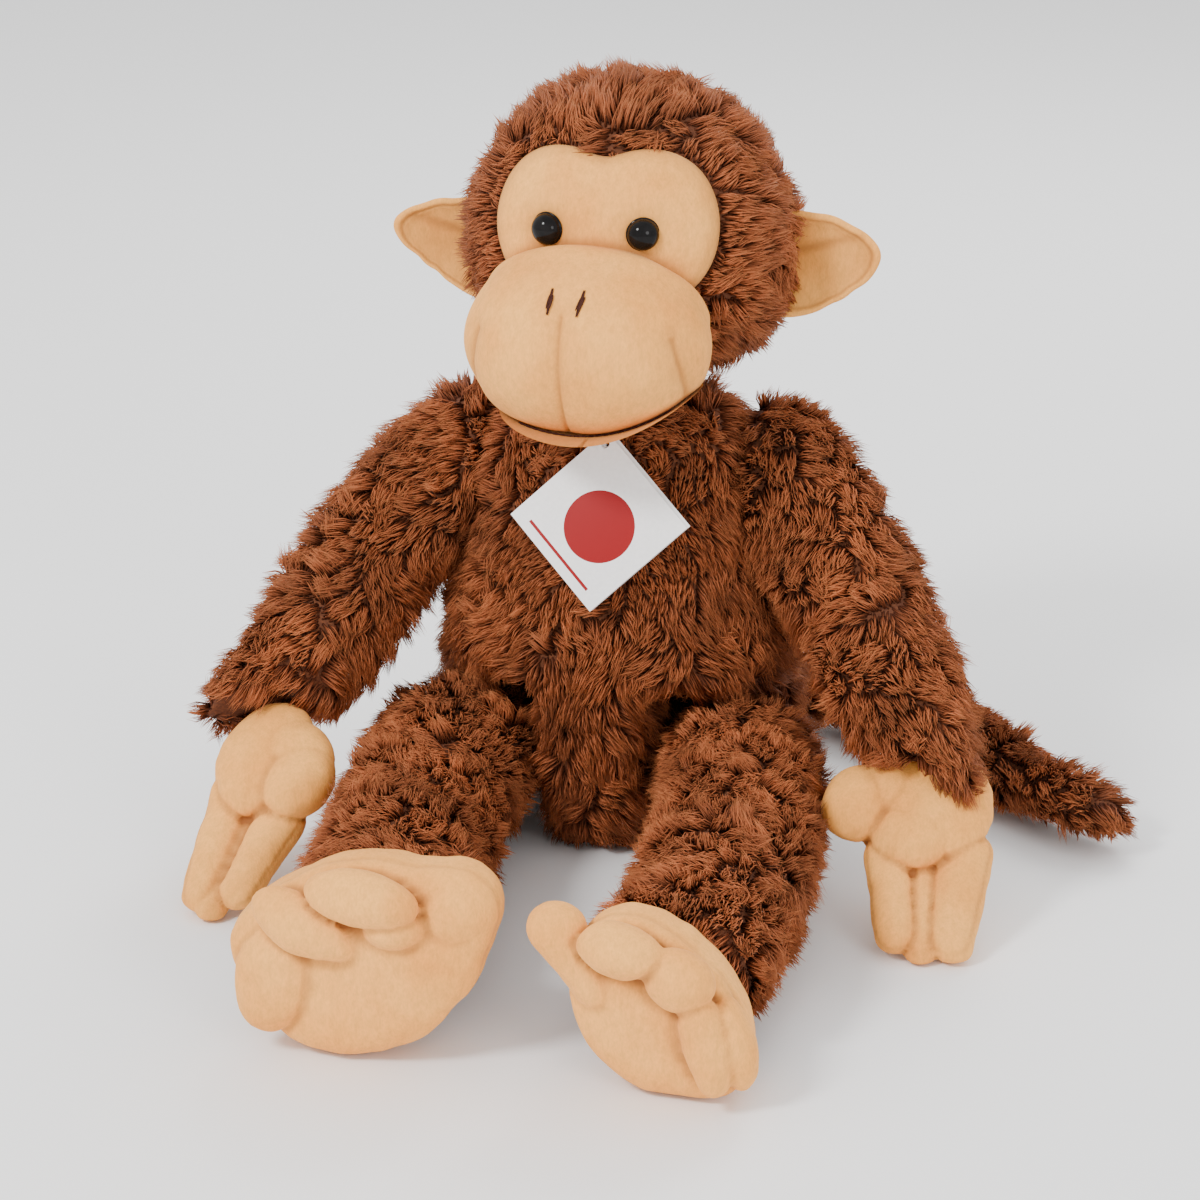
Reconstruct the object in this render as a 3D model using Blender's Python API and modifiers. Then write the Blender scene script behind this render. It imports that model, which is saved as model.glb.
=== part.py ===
"""A seated plush monkey with floppy sewn limbs, in metres, +Z up, facing -Y.

The origin is the middle of the flat seat. "Left" and "right" are the monkey's own, so left is +X.
Each stuffed form is a fur or plush skin in two sewn panels, closed round a core of stuffing.
"""

import math

import bmesh
import bpy
from mathutils import Matrix, Vector

MM = 0.001

# Driving dimensions, in millimetres until mm() turns them into metres.
GAP = 0.3                      # clearance between pieces that lie against each other
FUR_SKIN = 4.0                 # backing cloth with the packed foot of the long pile
PLUSH_SKIN = 1.6               # short pile plush
SEAM_X = 3.0                   # the middle seam of the torso and the head
HEAD_CENTRE = (SEAM_X, -3.0, 236.0)
HEAD_RADII = (61.0, 56.0, 57.0)
MUZZLE_CENTRE = (1.0, -58.0, 203.5)
MUZZLE_RADII = (45.0, 33.0, 36.0)
MUZZLE_BACK_Y = -34.0          # where the muzzle's stuffing meets the head's
MOUTH_Z = 175.5
NECK_Z = 176.0
EYE_DIAMETER = 13.5
EYE_SPACING = 36.0
EYE_Z = 244.5
EYE_YAW = 17.0                 # degrees that each eye looks outwards
EYE_SEAT = 1.2                 # the eye's flat back stands this far off the mask's middle
SHANK_RADIUS = 2.2
SHANK_LENGTH = 13.0
SHANK_RIBS = (-2.0, -5.5, -9.0)
SHANK_RIB_DEPTH = 0.4
EYE_HOLE_NEAR = 8.0            # how far in front of the face the holes for the eyes start
WASHER_RADIUS = 8.0
WASHER_HEIGHTS = (-6.5, -7.0, -8.0, -8.5)
MASK_SINK = 0.8                # the face mask lies this far under the head's round
NOSTRIL_SPREAD = 5.5
NOSTRIL_Z = 224.0
NOSTRIL_RADII = (1.3, 0.8, 3.4)
NOSTRIL_STAND = 1.2
MOUTH_REACH = 58.0             # degrees that the mouth runs round the muzzle to each side
MOUTH_STAND = 1.0
MOUTH_THREAD_RADIUS = 0.5
EAR_RADII = (23.0, 5.0, 17.0)
EAR_CENTRE_X = 72.0
EAR_Y = 4.0
EAR_Z = 225.0
EAR_YAW = 12.0
SHOULDER = (58.0, 2.0, 142.0)
SHOULDER_FACE_X = 52.0         # the arm is sewn flat to the torso's side here
HIP = (56.0, -38.0, 32.0)
HIP_RADIUS = 31.0
CROTCH_HALF_WIDTH = 17.0
LEG_RISE = 15.0                # degrees that a leg lifts above level
LEG_SPARE = 1.0                # degrees more that the torso's recess leaves open
TAG_SIDE = 47.5
TAG_THICKNESS = 0.5
TAG_HOLE = (4.0, -48.0, 162.5)
TAG_TILT = 22.5                # degrees that the card leans back on the chest
TAG_HOLE_INSET = 5.0           # from the card's corner to its hole
TAG_HOLE_RADIUS = 1.6
TAG_LEAF_GAP = 0.9
FASTENER_RADIUS = 3.2
FASTENER_WIRE = 0.4

TORSO_PROFILE = (              # half width and height, from the neck down to the seat
    (14.0, 174.0), (28.0, 171.0), (40.0, 163.0), (48.0, 150.0), (51.0, 138.0), (56.0, 122.0),
    (63.0, 104.0), (69.0, 84.0), (72.0, 62.0), (71.0, 40.0), (66.0, 20.0), (58.0, 6.0), (52.0, 0.0),
)
TORSO_DEPTH = 0.93             # depth over width
TORSO_SHIFT_Y = -4.0

# Centre-line stations: x, y, z and radius.
ARMS = {
    "left": ((60, 2, 142, 28), (78, -14, 124, 28), (100, -34, 99, 26), (120, -56, 72, 26),
             (132.3, -70.8, 53.5, 26)),
    "right": ((-60, 2, 142, 28), (-77, -14, 124, 28), (-96, -38, 99, 26), (-107, -66, 74, 26),
              (-113.7, -95.4, 55.3, 26)),
}
LEGS = {
    "left": ((56, -38, 32, 31), (63, -80, 32, 31), (69, -130, 31.5, 30.5), (69, -180, 31, 30),
             (66, -212, 31, 29)),
    "right": ((-56, -38, 32, 31), (-54, -80, 32, 31), (-49, -130, 31.5, 30.5), (-42, -180, 31, 30),
              (-36, -210, 31, 29)),
}
TAIL = ((0, 75, 17, 14), (50, 93, 16, 14), (100, 78, 15.5, 14), (140, 38, 14.5, 13), (168, 10, 14, 11),
        (192, -4, 13, 8))
HANDS = {                      # middle of the palm, the way the fingers point, and the thumb's side
    "left": {"palm": (134, -80, 41), "along": (0.12, -0.78, -0.61), "across": (-1, -0.1, 0)},
    "right": {"palm": (-116, -104, 45), "along": (-0.14, -0.78, -0.61), "across": (1, -0.1, 0)},
}
PALM_RADII = (23.0, 11.0, 25.0)
FINGER_RADIUS = 7.5
FINGER_PITCH = 12.5
FINGER_ROOT = 12.0             # how far along the palm the fingers start
FINGER_LENGTHS = (30.0, 35.0, 31.0)
FINGER_TAPER = 0.85
THUMB_RADIUS = 9.0
THUMB_ROOT = (10.0, -6.0)      # across and along the palm
THUMB_WAY = (14.0, 4.0)
FEET = {                       # centre of the foot, and the side that the big toe is on
    "left": {"centre": (63, -226, 38), "big_toe": -1},
    "right": {"centre": (-31, -224, 38), "big_toe": 1},
}
FOOT_RADII = (40.0, 18.0, 36.0)
TOES = (                       # angle round the sole from the big toe's side, distance out, radii
    (25.0, 33.0, (12.0, 9.0, 10.0)), (62.0, 26.0, (13.0, 9.0, 9.5)), (98.0, 27.0, (12.0, 9.0, 10.0)),
    (135.0, 29.0, (11.0, 9.0, 12.0)),
)
TOE_FORWARD = 14.0
ARM_SIDE_PROFILE = (           # radius about the shoulder's axis, and distance from the middle plane
    (0.0, 140.0), (110.0, 140.0), (110.0, 84.0), (75.0, 73.0), (50.0, 62.0), (30.0, SHOULDER_FACE_X),
    (0.0, SHOULDER_FACE_X),
)
MASK_HALF = (                  # the face mask's right half: distance from the middle, and height
    (0.0, 269.0), (7.0, 273.5), (17.0, 275.5), (28.0, 272.0), (37.0, 263.0), (41.5, 250.0),
    (42.0, 236.0), (39.0, 224.0), (34.0, 214.0), (20.0, 206.0), (0.0, 206.0),
)
MASK_MIDDLE_Z = 240.0
SIGN = {"left": 1, "right": -1}


# --- helpers ------------------------------------------------------------------------------------

def mm(*values):
    return Vector(values) * MM


def clear_scene():
    for ob in list(bpy.data.objects):
        bpy.data.objects.remove(ob, do_unlink=True)


def new_collection(name):
    collection = bpy.data.collections.new(name)
    bpy.context.scene.collection.children.link(collection)
    return collection


clear_scene()
PARTS = new_collection("stuffed_monkey")
CUTTERS = new_collection("cutters")


def material(name, colour, roughness, metallic=0.0):
    mat = bpy.data.materials.new(name)
    mat.use_nodes = True
    shader = mat.node_tree.nodes["Principled BSDF"]
    shader.inputs["Base Color"].default_value = (*colour, 1.0)
    shader.inputs["Roughness"].default_value = roughness
    shader.inputs["Metallic"].default_value = metallic
    return mat


BROWN_FUR = material("brown_fur", (0.20, 0.062, 0.018), 0.95)
BEIGE_PLUSH = material("beige_plush", (0.72, 0.47, 0.27), 0.9)
STUFFING = material("stuffing", (0.85, 0.85, 0.82), 1.0)
EYE_PLASTIC = material("eye_plastic", (0.008, 0.007, 0.007), 0.08)
WASHER_PLASTIC = material("washer_plastic", (0.8, 0.8, 0.78), 0.4)
THREAD = material("brown_thread", (0.06, 0.02, 0.01), 0.8)
CARD = material("white_card", (0.85, 0.83, 0.8), 0.45)
CLEAR_PLASTIC = material("fastener_plastic", (0.85, 0.85, 0.85), 0.3)


def add_object(name, mesh, mat=None):
    """A piece when it has a material, and otherwise a cutter."""
    ob = bpy.data.objects.new(name, mesh)
    if mat is None:
        CUTTERS.objects.link(ob)
        ob.hide_render = True
        ob.display_type = "WIRE"
    else:
        PARTS.objects.link(ob)
        mesh.materials.append(mat)
        mesh.shade_smooth()
    return ob


def mesh_from(bm, name):
    mesh = bpy.data.meshes.new(name)
    bm.to_mesh(mesh)
    bm.free()
    return mesh


def ball(name, centre, radii, mat=None, grow=0.0, yaw=0.0, segments=18, rings=10):
    """An ellipsoid, its radii grown by a margin, turned by yaw degrees about Z."""
    bm = bmesh.new()
    bmesh.ops.create_uvsphere(bm, u_segments=segments, v_segments=rings, radius=1.0)
    for v in bm.verts:
        v.co = Vector([c * (r + grow) * MM for c, r in zip(v.co, radii)])
    ob = add_object(name, mesh_from(bm, name), mat)
    ob.location = mm(*centre)
    ob.rotation_euler.z = math.radians(yaw)
    return ob


def oriented_ball(name, centre, axes, radii, mat=None, grow=0.0):
    """An ellipsoid whose radii lie along three square axes."""
    ob = ball(name, centre, radii, mat, grow=grow, segments=14, rings=8)
    turn = Matrix(axes).transposed()
    if turn.determinant() < 0:
        turn = turn @ Matrix.Diagonal((1, -1, 1))
    ob.rotation_euler = turn.to_euler()
    return ob


def half_space(name, point, normal):
    """A large block that fills the side of a plane that the normal points to."""
    reach = 0.6
    bm = bmesh.new()
    bmesh.ops.create_cube(bm, size=reach)
    ob = add_object(name, mesh_from(bm, name))
    normal = Vector(normal).normalized()
    ob.rotation_euler = normal.to_track_quat("Z", "Y").to_euler()
    ob.location = mm(*point) + normal * reach / 2
    return ob


def smooth_path(stations, steps=2):
    """Catmull-Rom points through the stations, each a position with a radius."""
    points = [Vector(s) for s in stations]
    ends = [2 * points[0] - points[1]] + points + [2 * points[-1] - points[-2]]
    path = []
    for i in range(1, len(ends) - 2):
        a, b, c, d = ends[i - 1:i + 3]
        for k in range(steps):
            t = k / steps
            path.append(0.5 * (2 * b + (c - a) * t + (2 * a - 5 * b + 4 * c - d) * t * t
                               + (3 * b - a - 3 * c + d) * t ** 3))
    return path + [ends[-2]]


def open_end(name, stations):
    """The half space beyond a sleeve's open end, past the gap."""
    path = smooth_path(stations)
    way = (path[-1] - path[-2]).xyz.normalized()
    return half_space(name, path[-1].xyz + way * GAP, way)


def rounded_ends(path, start, end):
    """Adds a dome of shrinking rings at the ends that are rounded."""
    steps = (75, 40)

    def dome(tip, inner):
        out = (tip.xyz - inner.xyz).normalized()
        rings = []
        for angle in steps:
            a = math.radians(angle)
            spot = tip.xyz + out * tip.w * math.sin(a)
            rings.append(Vector((*spot, tip.w * math.cos(a))))
        return rings

    first = dome(path[0], path[1]) if start else []
    last = dome(path[-1], path[-2])[::-1] if end else []
    return first + path + last


def tube(name, stations, mat=None, shrink=0.0, start=True, end=True, sides=16):
    """A round limb along its stations, made as a bevelled curve and turned into a mesh."""
    path = [Vector((*p.xyz, p.w - shrink)) for p in smooth_path(stations)]
    path = rounded_ends(path, start, end)
    curve = bpy.data.curves.new(name, "CURVE")
    curve.dimensions = "3D"
    curve.bevel_depth = MM
    curve.bevel_resolution = sides // 4 - 1
    curve.use_fill_caps = True
    spline = curve.splines.new("POLY")
    spline.points.add(len(path) - 1)
    for spot, p in zip(spline.points, path):
        spot.co = (*(p.xyz * MM), 1.0)
        spot.radius = p.w
    guide = bpy.data.objects.new(name + "_curve", curve)
    CUTTERS.objects.link(guide)
    mesh = bpy.data.meshes.new_from_object(guide.evaluated_get(bpy.context.evaluated_depsgraph_get()))
    bpy.data.objects.remove(guide)
    bm = bmesh.new()
    bm.from_mesh(mesh)
    bpy.data.meshes.remove(mesh)
    bmesh.ops.remove_doubles(bm, verts=bm.verts, dist=0.00001)
    bmesh.ops.recalc_face_normals(bm, faces=bm.faces)
    return add_object(name, mesh_from(bm, name), mat)


def combine(ob, operation, *others):
    for other in others:
        mod = ob.modifiers.new(operation.lower() + "_" + other.name, "BOOLEAN")
        mod.operation = operation
        mod.object = other
    return ob


def cut(ob, *cutters):
    return combine(ob, "DIFFERENCE", *cutters)


def keep_inside(ob, *cutters):
    return combine(ob, "INTERSECT", *cutters)


def two_sides(name, point, normal):
    """The two half spaces either side of a seam, with the seam's gap between them."""
    normal = Vector(normal).normalized()
    point = Vector(point)
    step = normal * GAP / 2
    return (half_space(name + "_plus", point + step, normal),
            half_space(name + "_minus", point - step, -normal))


# --- torso --------------------------------------------------------------------------------------

def egg(name, mat=None, inset=0.0):
    """The torso's form: a turned profile, flattened front to back, with a flat seat."""
    top = TORSO_PROFILE[0][1] - inset
    rows = [(0.0, top)]
    rows += [(max(r - inset, 1.0), min(z, top - 0.5) if z > 90 else max(z, inset))
             for r, z in TORSO_PROFILE[1 if inset else 0:]]
    rows += [(0.0, inset)]
    bm = bmesh.new()
    verts = [bm.verts.new(mm(r, 0, z)) for r, z in rows]
    for a, b in zip(verts, verts[1:]):
        bm.edges.new((a, b))
    ob = add_object(name, mesh_from(bm, name), mat)
    screw = ob.modifiers.new("turn", "SCREW")
    screw.angle = math.tau
    screw.steps = 20
    screw.render_steps = 20
    screw.use_merge_vertices = True
    screw.merge_threshold = 0.00005
    screw.use_smooth_shade = True
    ob.scale.y = TORSO_DEPTH
    ob.location.y = TORSO_SHIFT_Y * MM
    return ob


def hip_recess(side, radius):
    """The space that a leg sweeps from sitting to standing: its side view, extruded in X."""
    _, hip_y, hip_z = HIP
    far = 140.0
    rise = math.radians(LEG_RISE + LEG_SPARE)
    outline = []
    steps = 9
    for i in range(steps + 1):
        angle = (math.pi / 2 - rise) * i / steps
        outline.append((hip_y + radius * math.cos(angle), hip_z + radius * math.sin(angle)))
    last_y, last_z = outline[-1]
    outline.append((last_y - far * math.cos(rise), last_z + far * math.sin(rise)))
    outline.append((hip_y - far, -far))
    outline.append((hip_y + radius, -far))
    near_x, far_x = sorted((SIGN[side] * CROTCH_HALF_WIDTH, SIGN[side] * 110.0))
    bm = bmesh.new()
    face = bm.faces.new([bm.verts.new(mm(near_x, y, z)) for y, z in outline])
    grown = bmesh.ops.extrude_face_region(bm, geom=[face])["geom"]
    moved = [g for g in grown if isinstance(g, bmesh.types.BMVert)]
    bmesh.ops.translate(bm, verts=moved, vec=mm(far_x - near_x, 0, 0))
    bmesh.ops.recalc_face_normals(bm, faces=bm.faces)
    name = "hip_recess_" + side + "_" + str(round(radius))
    return add_object(name, mesh_from(bm, name))


def build_torso():
    left, right = two_sides("torso_seam", (SEAM_X, 0, 0), (1, 0, 0))
    hollow = egg("torso_hollow", inset=FUR_SKIN)
    for side, half in (("left", left), ("right", right)):
        skin = egg("torso_fur_" + side, BROWN_FUR)
        keep_inside(skin, half)
        cut(skin, hollow, hip_recess(side, HIP_RADIUS + GAP), arm_side("arm_recess_" + side, side, 0.0))
    core = egg("torso_stuffing", STUFFING, inset=FUR_SKIN + GAP)
    for side in SIGN:
        arm_depth = arm_side("arm_depth_" + side, side, -FUR_SKIN)
        cut(core, hip_recess(side, HIP_RADIUS + FUR_SKIN), arm_depth)


# --- head ---------------------------------------------------------------------------------------

def mask_outline(name, margin):
    """The face mask's outline, with a lobe over each brow, extruded through the face."""
    points = list(MASK_HALF) + [(-x, z) for x, z in MASK_HALF[-2:0:-1]]
    bm = bmesh.new()
    verts = []
    for x, z in points:
        away = Vector((x, 0, z - MASK_MIDDLE_Z)).normalized() * margin
        verts.append(bm.verts.new(mm(HEAD_CENTRE[0] + x + away.x, -80, z + away.z)))
    face = bm.faces.new(verts)
    grown = bmesh.ops.extrude_face_region(bm, geom=[face])["geom"]
    moved = [g for g in grown if isinstance(g, bmesh.types.BMVert)]
    bmesh.ops.translate(bm, verts=moved, vec=mm(0, 70, 0))
    bmesh.ops.recalc_face_normals(bm, faces=bm.faces)
    return add_object(name, mesh_from(bm, name))


def surface_y(centre, radii, x, z, grow=0.0):
    """The front of an ellipsoid at x and z."""
    u = (x - centre[0]) / (radii[0] + grow)
    w = (z - centre[2]) / (radii[2] + grow)
    return centre[1] - (radii[1] + grow) * math.sqrt(max(0.0, 1 - u * u - w * w))


def eye_place(sign):
    x = HEAD_CENTRE[0] + sign * EYE_SPACING / 2
    return x, surface_y(HEAD_CENTRE, HEAD_RADII, x, EYE_Z), EYE_Z


def turned_piece(name, profile, mat, steps=14):
    """A profile of radius and height, top to bottom, turned about Z."""
    bm = bmesh.new()
    verts = [bm.verts.new(mm(r, 0, z)) for r, z in profile]
    for a, b in zip(verts, verts[1:]):
        bm.edges.new((a, b))
    if profile[0][0] > 0:
        bm.edges.new((verts[-1], verts[0]))
    ob = add_object(name, mesh_from(bm, name), mat)
    screw = ob.modifiers.new("turn", "SCREW")
    screw.angle = math.tau
    screw.steps = steps
    screw.render_steps = steps
    screw.use_merge_vertices = True
    screw.merge_threshold = 0.00001
    return ob


def point_forwards(ob, place, yaw):
    """Turns a piece's +Z to look out of the face, then puts it in place."""
    ob.rotation_euler = (math.radians(90), 0, math.radians(yaw))
    ob.location = mm(*place)
    return ob


def build_eye(side):
    sign = SIGN[side]
    place = eye_place(sign)
    yaw = sign * EYE_YAW
    r = EYE_DIAMETER / 2
    rim = 1.0
    rise = r - EYE_SEAT - SHANK_RIB_DEPTH
    dome = [(r * math.sin(math.radians(a)), EYE_SEAT + rim + rise * math.cos(math.radians(a)))
            for a in (0, 20, 45, 70, 90)]
    neck = SHANK_RADIUS - SHANK_RIB_DEPTH
    ribs = []
    for z in SHANK_RIBS:
        ribs += [(SHANK_RADIUS, z), (neck, z - SHANK_RIB_DEPTH), (neck, z - 4 * SHANK_RIB_DEPTH)]
    profile = dome + [(r, EYE_SEAT), (SHANK_RADIUS, EYE_SEAT)] + ribs
    profile += [(neck, -SHANK_LENGTH), (0.0, -SHANK_LENGTH)]
    point_forwards(turned_piece("eye_" + side, profile, EYE_PLASTIC), place, yaw)
    inner = SHANK_RADIUS + GAP
    first, front, back, last = WASHER_HEIGHTS
    washer = [(inner, first), (WASHER_RADIUS, front), (WASHER_RADIUS, back), (inner, last)]
    point_forwards(turned_piece("eye_washer_" + side, washer, WASHER_PLASTIC), place, yaw)


def eye_hole(side, radius, near, deep):
    """A round cutter along the eye's axis, from near to deep behind the face."""
    name = f"eye_hole_{side}_{round(radius)}_{round(deep)}"
    bm = bmesh.new()
    bmesh.ops.create_cone(bm, cap_ends=True, segments=24, radius1=radius * MM, radius2=radius * MM,
                          depth=(near + deep) * MM)
    bmesh.ops.translate(bm, verts=bm.verts, vec=mm(0, 0, (near - deep) / 2))
    return point_forwards(add_object(name, mesh_from(bm, name)), eye_place(SIGN[side]),
                          SIGN[side] * EYE_YAW)


def build_head():
    left, right = two_sides("head_seam", (SEAM_X, 0, 0), (1, 0, 0))
    above_neck = half_space("neck_plane", (0, 0, NECK_Z + GAP), (0, 0, 1))
    hollow = ball("head_hollow", HEAD_CENTRE, HEAD_RADII, grow=-FUR_SKIN)
    muzzle_room = ball("muzzle_room", MUZZLE_CENTRE, MUZZLE_RADII, grow=GAP)
    mask_room = mask_outline("mask_room", GAP)
    for side, half in (("left", left), ("right", right)):
        skin = ball("head_fur_" + side, HEAD_CENTRE, HEAD_RADII, BROWN_FUR, segments=24, rings=14)
        keep_inside(skin, half, above_neck)
        cut(skin, hollow, mask_room, muzzle_room)

    mask = ball("face_mask", HEAD_CENTRE, HEAD_RADII, BEIGE_PLUSH, grow=-MASK_SINK, segments=24,
                rings=14)
    keep_inside(mask, mask_outline("mask_edge", 0.0))
    cut(mask, ball("mask_hollow", HEAD_CENTRE, HEAD_RADII, grow=-MASK_SINK - PLUSH_SKIN), muzzle_room)
    for side in SIGN:
        cut(mask, eye_hole(side, SHANK_RADIUS + GAP, EYE_HOLE_NEAR, SHANK_LENGTH - 1))

    core = ball("head_stuffing", HEAD_CENTRE, HEAD_RADII, STUFFING, grow=-FUR_SKIN - GAP)
    keep_inside(core, above_neck)
    cut(core, muzzle_room)
    for side in SIGN:
        build_eye(side)
        cut(core, eye_hole(side, WASHER_RADIUS + GAP, EYE_HOLE_NEAR, SHANK_LENGTH + 1))


def build_muzzle():
    seam_x = MUZZLE_CENTRE[0]
    left, right = two_sides("muzzle_seam", (seam_x, 0, 0), (1, 0, 0))
    over, under = two_sides("mouth_seam", (0, 0, MOUTH_Z), (0, 0, 1))
    front = half_space("muzzle_back", (0, MUZZLE_BACK_Y, 0), (0, -1, 0))
    hollow = ball("muzzle_hollow", MUZZLE_CENTRE, MUZZLE_RADII, grow=-PLUSH_SKIN)
    for side, half in (("left", left), ("right", right)):
        panel = ball("muzzle_" + side, MUZZLE_CENTRE, MUZZLE_RADII, BEIGE_PLUSH)
        keep_inside(panel, half, over, front)
        cut(panel, hollow)
    lip = ball("lower_lip", MUZZLE_CENTRE, MUZZLE_RADII, BEIGE_PLUSH)
    keep_inside(lip, under, front)
    cut(lip, hollow)
    core = ball("muzzle_stuffing", MUZZLE_CENTRE, MUZZLE_RADII, STUFFING, grow=-PLUSH_SKIN - GAP)
    keep_inside(core, front)

    for side, sign in SIGN.items():
        x, z = seam_x + sign * NOSTRIL_SPREAD, NOSTRIL_Z
        spot = Vector((x, surface_y(MUZZLE_CENTRE, MUZZLE_RADII, x, z), z))
        slope = [(p - c) / r ** 2 for p, c, r in zip(spot, MUZZLE_CENTRE, MUZZLE_RADII)]
        out = Vector(slope).normalized()
        across = Vector((0, 0, 1)).cross(out).normalized()
        oriented_ball("nostril_" + side, spot + out * NOSTRIL_STAND,
                      (across, out, out.cross(across)), NOSTRIL_RADII, THREAD)

    reach = math.radians(MOUTH_REACH)
    ring = []
    count = 7
    down = (MOUTH_Z - MUZZLE_CENTRE[2]) / MUZZLE_RADII[2]
    width = math.sqrt(1 - down * down)
    for i in range(count):
        a = -reach + 2 * reach * i / (count - 1)
        ring.append((seam_x + (MUZZLE_RADII[0] * width + MOUTH_STAND) * math.sin(a),
                     MUZZLE_CENTRE[1] - (MUZZLE_RADII[1] * width + MOUTH_STAND) * math.cos(a),
                     MOUTH_Z, MOUTH_THREAD_RADIUS))
    tube("mouth_line", ring, THREAD)


def build_ear(side):
    """Two plush leaves, sewn round the edge and set into the side of the head."""
    sign = SIGN[side]
    centre = (HEAD_CENTRE[0] + sign * EAR_CENTRE_X, EAR_Y, EAR_Z)
    room = ball("ear_room_" + side, HEAD_CENTRE, HEAD_RADII, grow=GAP, segments=24, rings=14)
    yaw = sign * EAR_YAW
    across = Vector((-math.sin(math.radians(yaw)), math.cos(math.radians(yaw)), 0))
    back, front = two_sides("ear_seam_" + side, centre, across)
    for face, half in (("front", front), ("back", back)):
        leaf = ball(f"ear_{side}_{face}", centre, EAR_RADII, BEIGE_PLUSH, yaw=yaw, segments=16, rings=8)
        keep_inside(leaf, half)
        cut(leaf, room)


# --- limbs --------------------------------------------------------------------------------------

def build_sleeve(name, stations, normal, *room):
    """A limb's fur in an outer and an inner panel, round its core of stuffing."""
    middle = Vector(stations[len(stations) // 2][:3])
    outer, inner = two_sides(name + "_seam", middle, normal)
    hollow = tube(name + "_hollow", stations, shrink=FUR_SKIN)
    for panel, half in (("outer", outer), ("inner", inner)):
        skin = tube(f"{name}_fur_{panel}", stations, BROWN_FUR, end=False)
        keep_inside(skin, half, *room)
        cut(skin, hollow)
    core = tube(name + "_stuffing", stations, STUFFING, shrink=FUR_SKIN + GAP, end=False)
    keep_inside(core, *room)


def arm_side(name, side, gap):
    """Everything outside a cone about the shoulder's axis, so that the arm swings without rubbing."""
    top = ARM_SIDE_PROFILE[0][1]
    profile = [(r, h if h == top else h + gap) for r, h in ARM_SIDE_PROFILE]
    ob = turned_piece(name, profile, None, steps=36)
    ob.rotation_euler.y = SIGN[side] * math.pi / 2
    ob.location = mm(0, SHOULDER[1], SHOULDER[2])
    return ob


def build_arm(side):
    outwards = (SIGN[side] * 0.89, 0.33, 0.31)
    room = arm_side("arm_side_" + side, side, GAP)
    build_sleeve("arm_" + side, ARMS[side], outwards, room)


def build_leg(side):
    build_sleeve("leg_" + side, LEGS[side], (SIGN[side], 0, 0))


def join(name, forms, mat=None):
    """The forms as one piece: the first one takes the others by union."""
    first, *others = forms
    first.name = name
    return combine(first, "UNION", *others)


def build_hand(side):
    """A soft mitten with a thumb and three fingers, in a back and a palm panel round its stuffing."""
    hand = HANDS[side]
    palm = Vector(hand["palm"])
    along = Vector(hand["along"]).normalized()
    across = Vector(hand["across"])
    across = (across - along * across.dot(along)).normalized()
    facing = along.cross(across) * -SIGN[side]
    axes = (across, facing, along)
    beyond = open_end("wrist_" + side, ARMS[side])
    thumb_root = palm + across * THUMB_ROOT[0] + along * THUMB_ROOT[1]
    digits = [(thumb_root, thumb_root + across * THUMB_WAY[0] + along * THUMB_WAY[1], THUMB_RADIUS)]
    for place in (-1, 0, 1):
        root = palm + along * FINGER_ROOT + across * place * FINGER_PITCH
        digits.append((root, root + along * FINGER_LENGTHS[place + 1], FINGER_RADIUS))
    tubes = []
    for i, (root, tip, radius) in enumerate(digits):
        ends = [(*root, radius), (*root.lerp(tip, 0.5), radius), (*tip, radius * FINGER_TAPER)]
        tubes.append(tube(f"digit_{side}_{i}", ends, sides=8))
    hollow = oriented_ball(f"hand_hollow_{side}", palm, axes, PALM_RADII, grow=-PLUSH_SKIN)
    plus, minus = two_sides("hand_seam_" + side, palm, facing)
    for panel, half in (("palm", plus), ("back", minus)):
        skin = oriented_ball(f"hand_{side}_{panel}", palm, axes, PALM_RADII, BEIGE_PLUSH)
        combine(skin, "UNION", *tubes)
        keep_inside(skin, half, beyond)
        cut(skin, hollow)
    core = oriented_ball(f"hand_{side}_stuffing", palm, axes, PALM_RADII, STUFFING,
                         grow=-PLUSH_SKIN - GAP)
    keep_inside(core, beyond)


def build_foot(side):
    """A flat round foot: sole in front, upper panel behind it, and a toe panel over the sole."""
    foot = FEET[side]
    centre = Vector(foot["centre"])
    beyond = open_end("ankle_" + side, LEGS[side])
    back, front = two_sides("foot_seam_" + side, centre, (0, 1, 0))
    hollow = ball("foot_hollow_" + side, centre, FOOT_RADII, grow=-PLUSH_SKIN)
    for panel, half in (("sole", front), ("upper", back)):
        skin = ball(f"foot_{side}_{panel}", centre, FOOT_RADII, BEIGE_PLUSH)
        keep_inside(skin, half, beyond)
        cut(skin, hollow)
    core = ball(f"foot_{side}_stuffing", centre, FOOT_RADII, STUFFING, grow=-PLUSH_SKIN - GAP)
    keep_inside(core, beyond)

    room = ball("toe_room_" + side, centre, FOOT_RADII, grow=GAP)
    toes = []
    for i, (angle, reach, radii) in enumerate(TOES):
        a = math.radians(angle)
        aside = foot["big_toe"] * reach * math.cos(a)
        spot = centre + Vector((aside, -TOE_FORWARD, reach * math.sin(a)))
        mat = BEIGE_PLUSH if i == 0 else None
        toes.append(ball(f"toe_{side}_{i}", spot, radii, mat, segments=12, rings=7))
    cut(join(f"foot_{side}_toes", toes), room)


def build_tail():
    upper, lower = two_sides("tail_seam", (0, 0, TAIL[2][2]), (0, 0, 1))
    hollow = tube("tail_hollow", TAIL, shrink=FUR_SKIN)
    for panel, half in (("upper", upper), ("lower", lower)):
        skin = tube("tail_fur_" + panel, TAIL, BROWN_FUR)
        keep_inside(skin, half)
        cut(skin, hollow)
    tube("tail_stuffing", TAIL, STUFFING, shrink=FUR_SKIN + GAP)


# --- hang tag -----------------------------------------------------------------------------------

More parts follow.
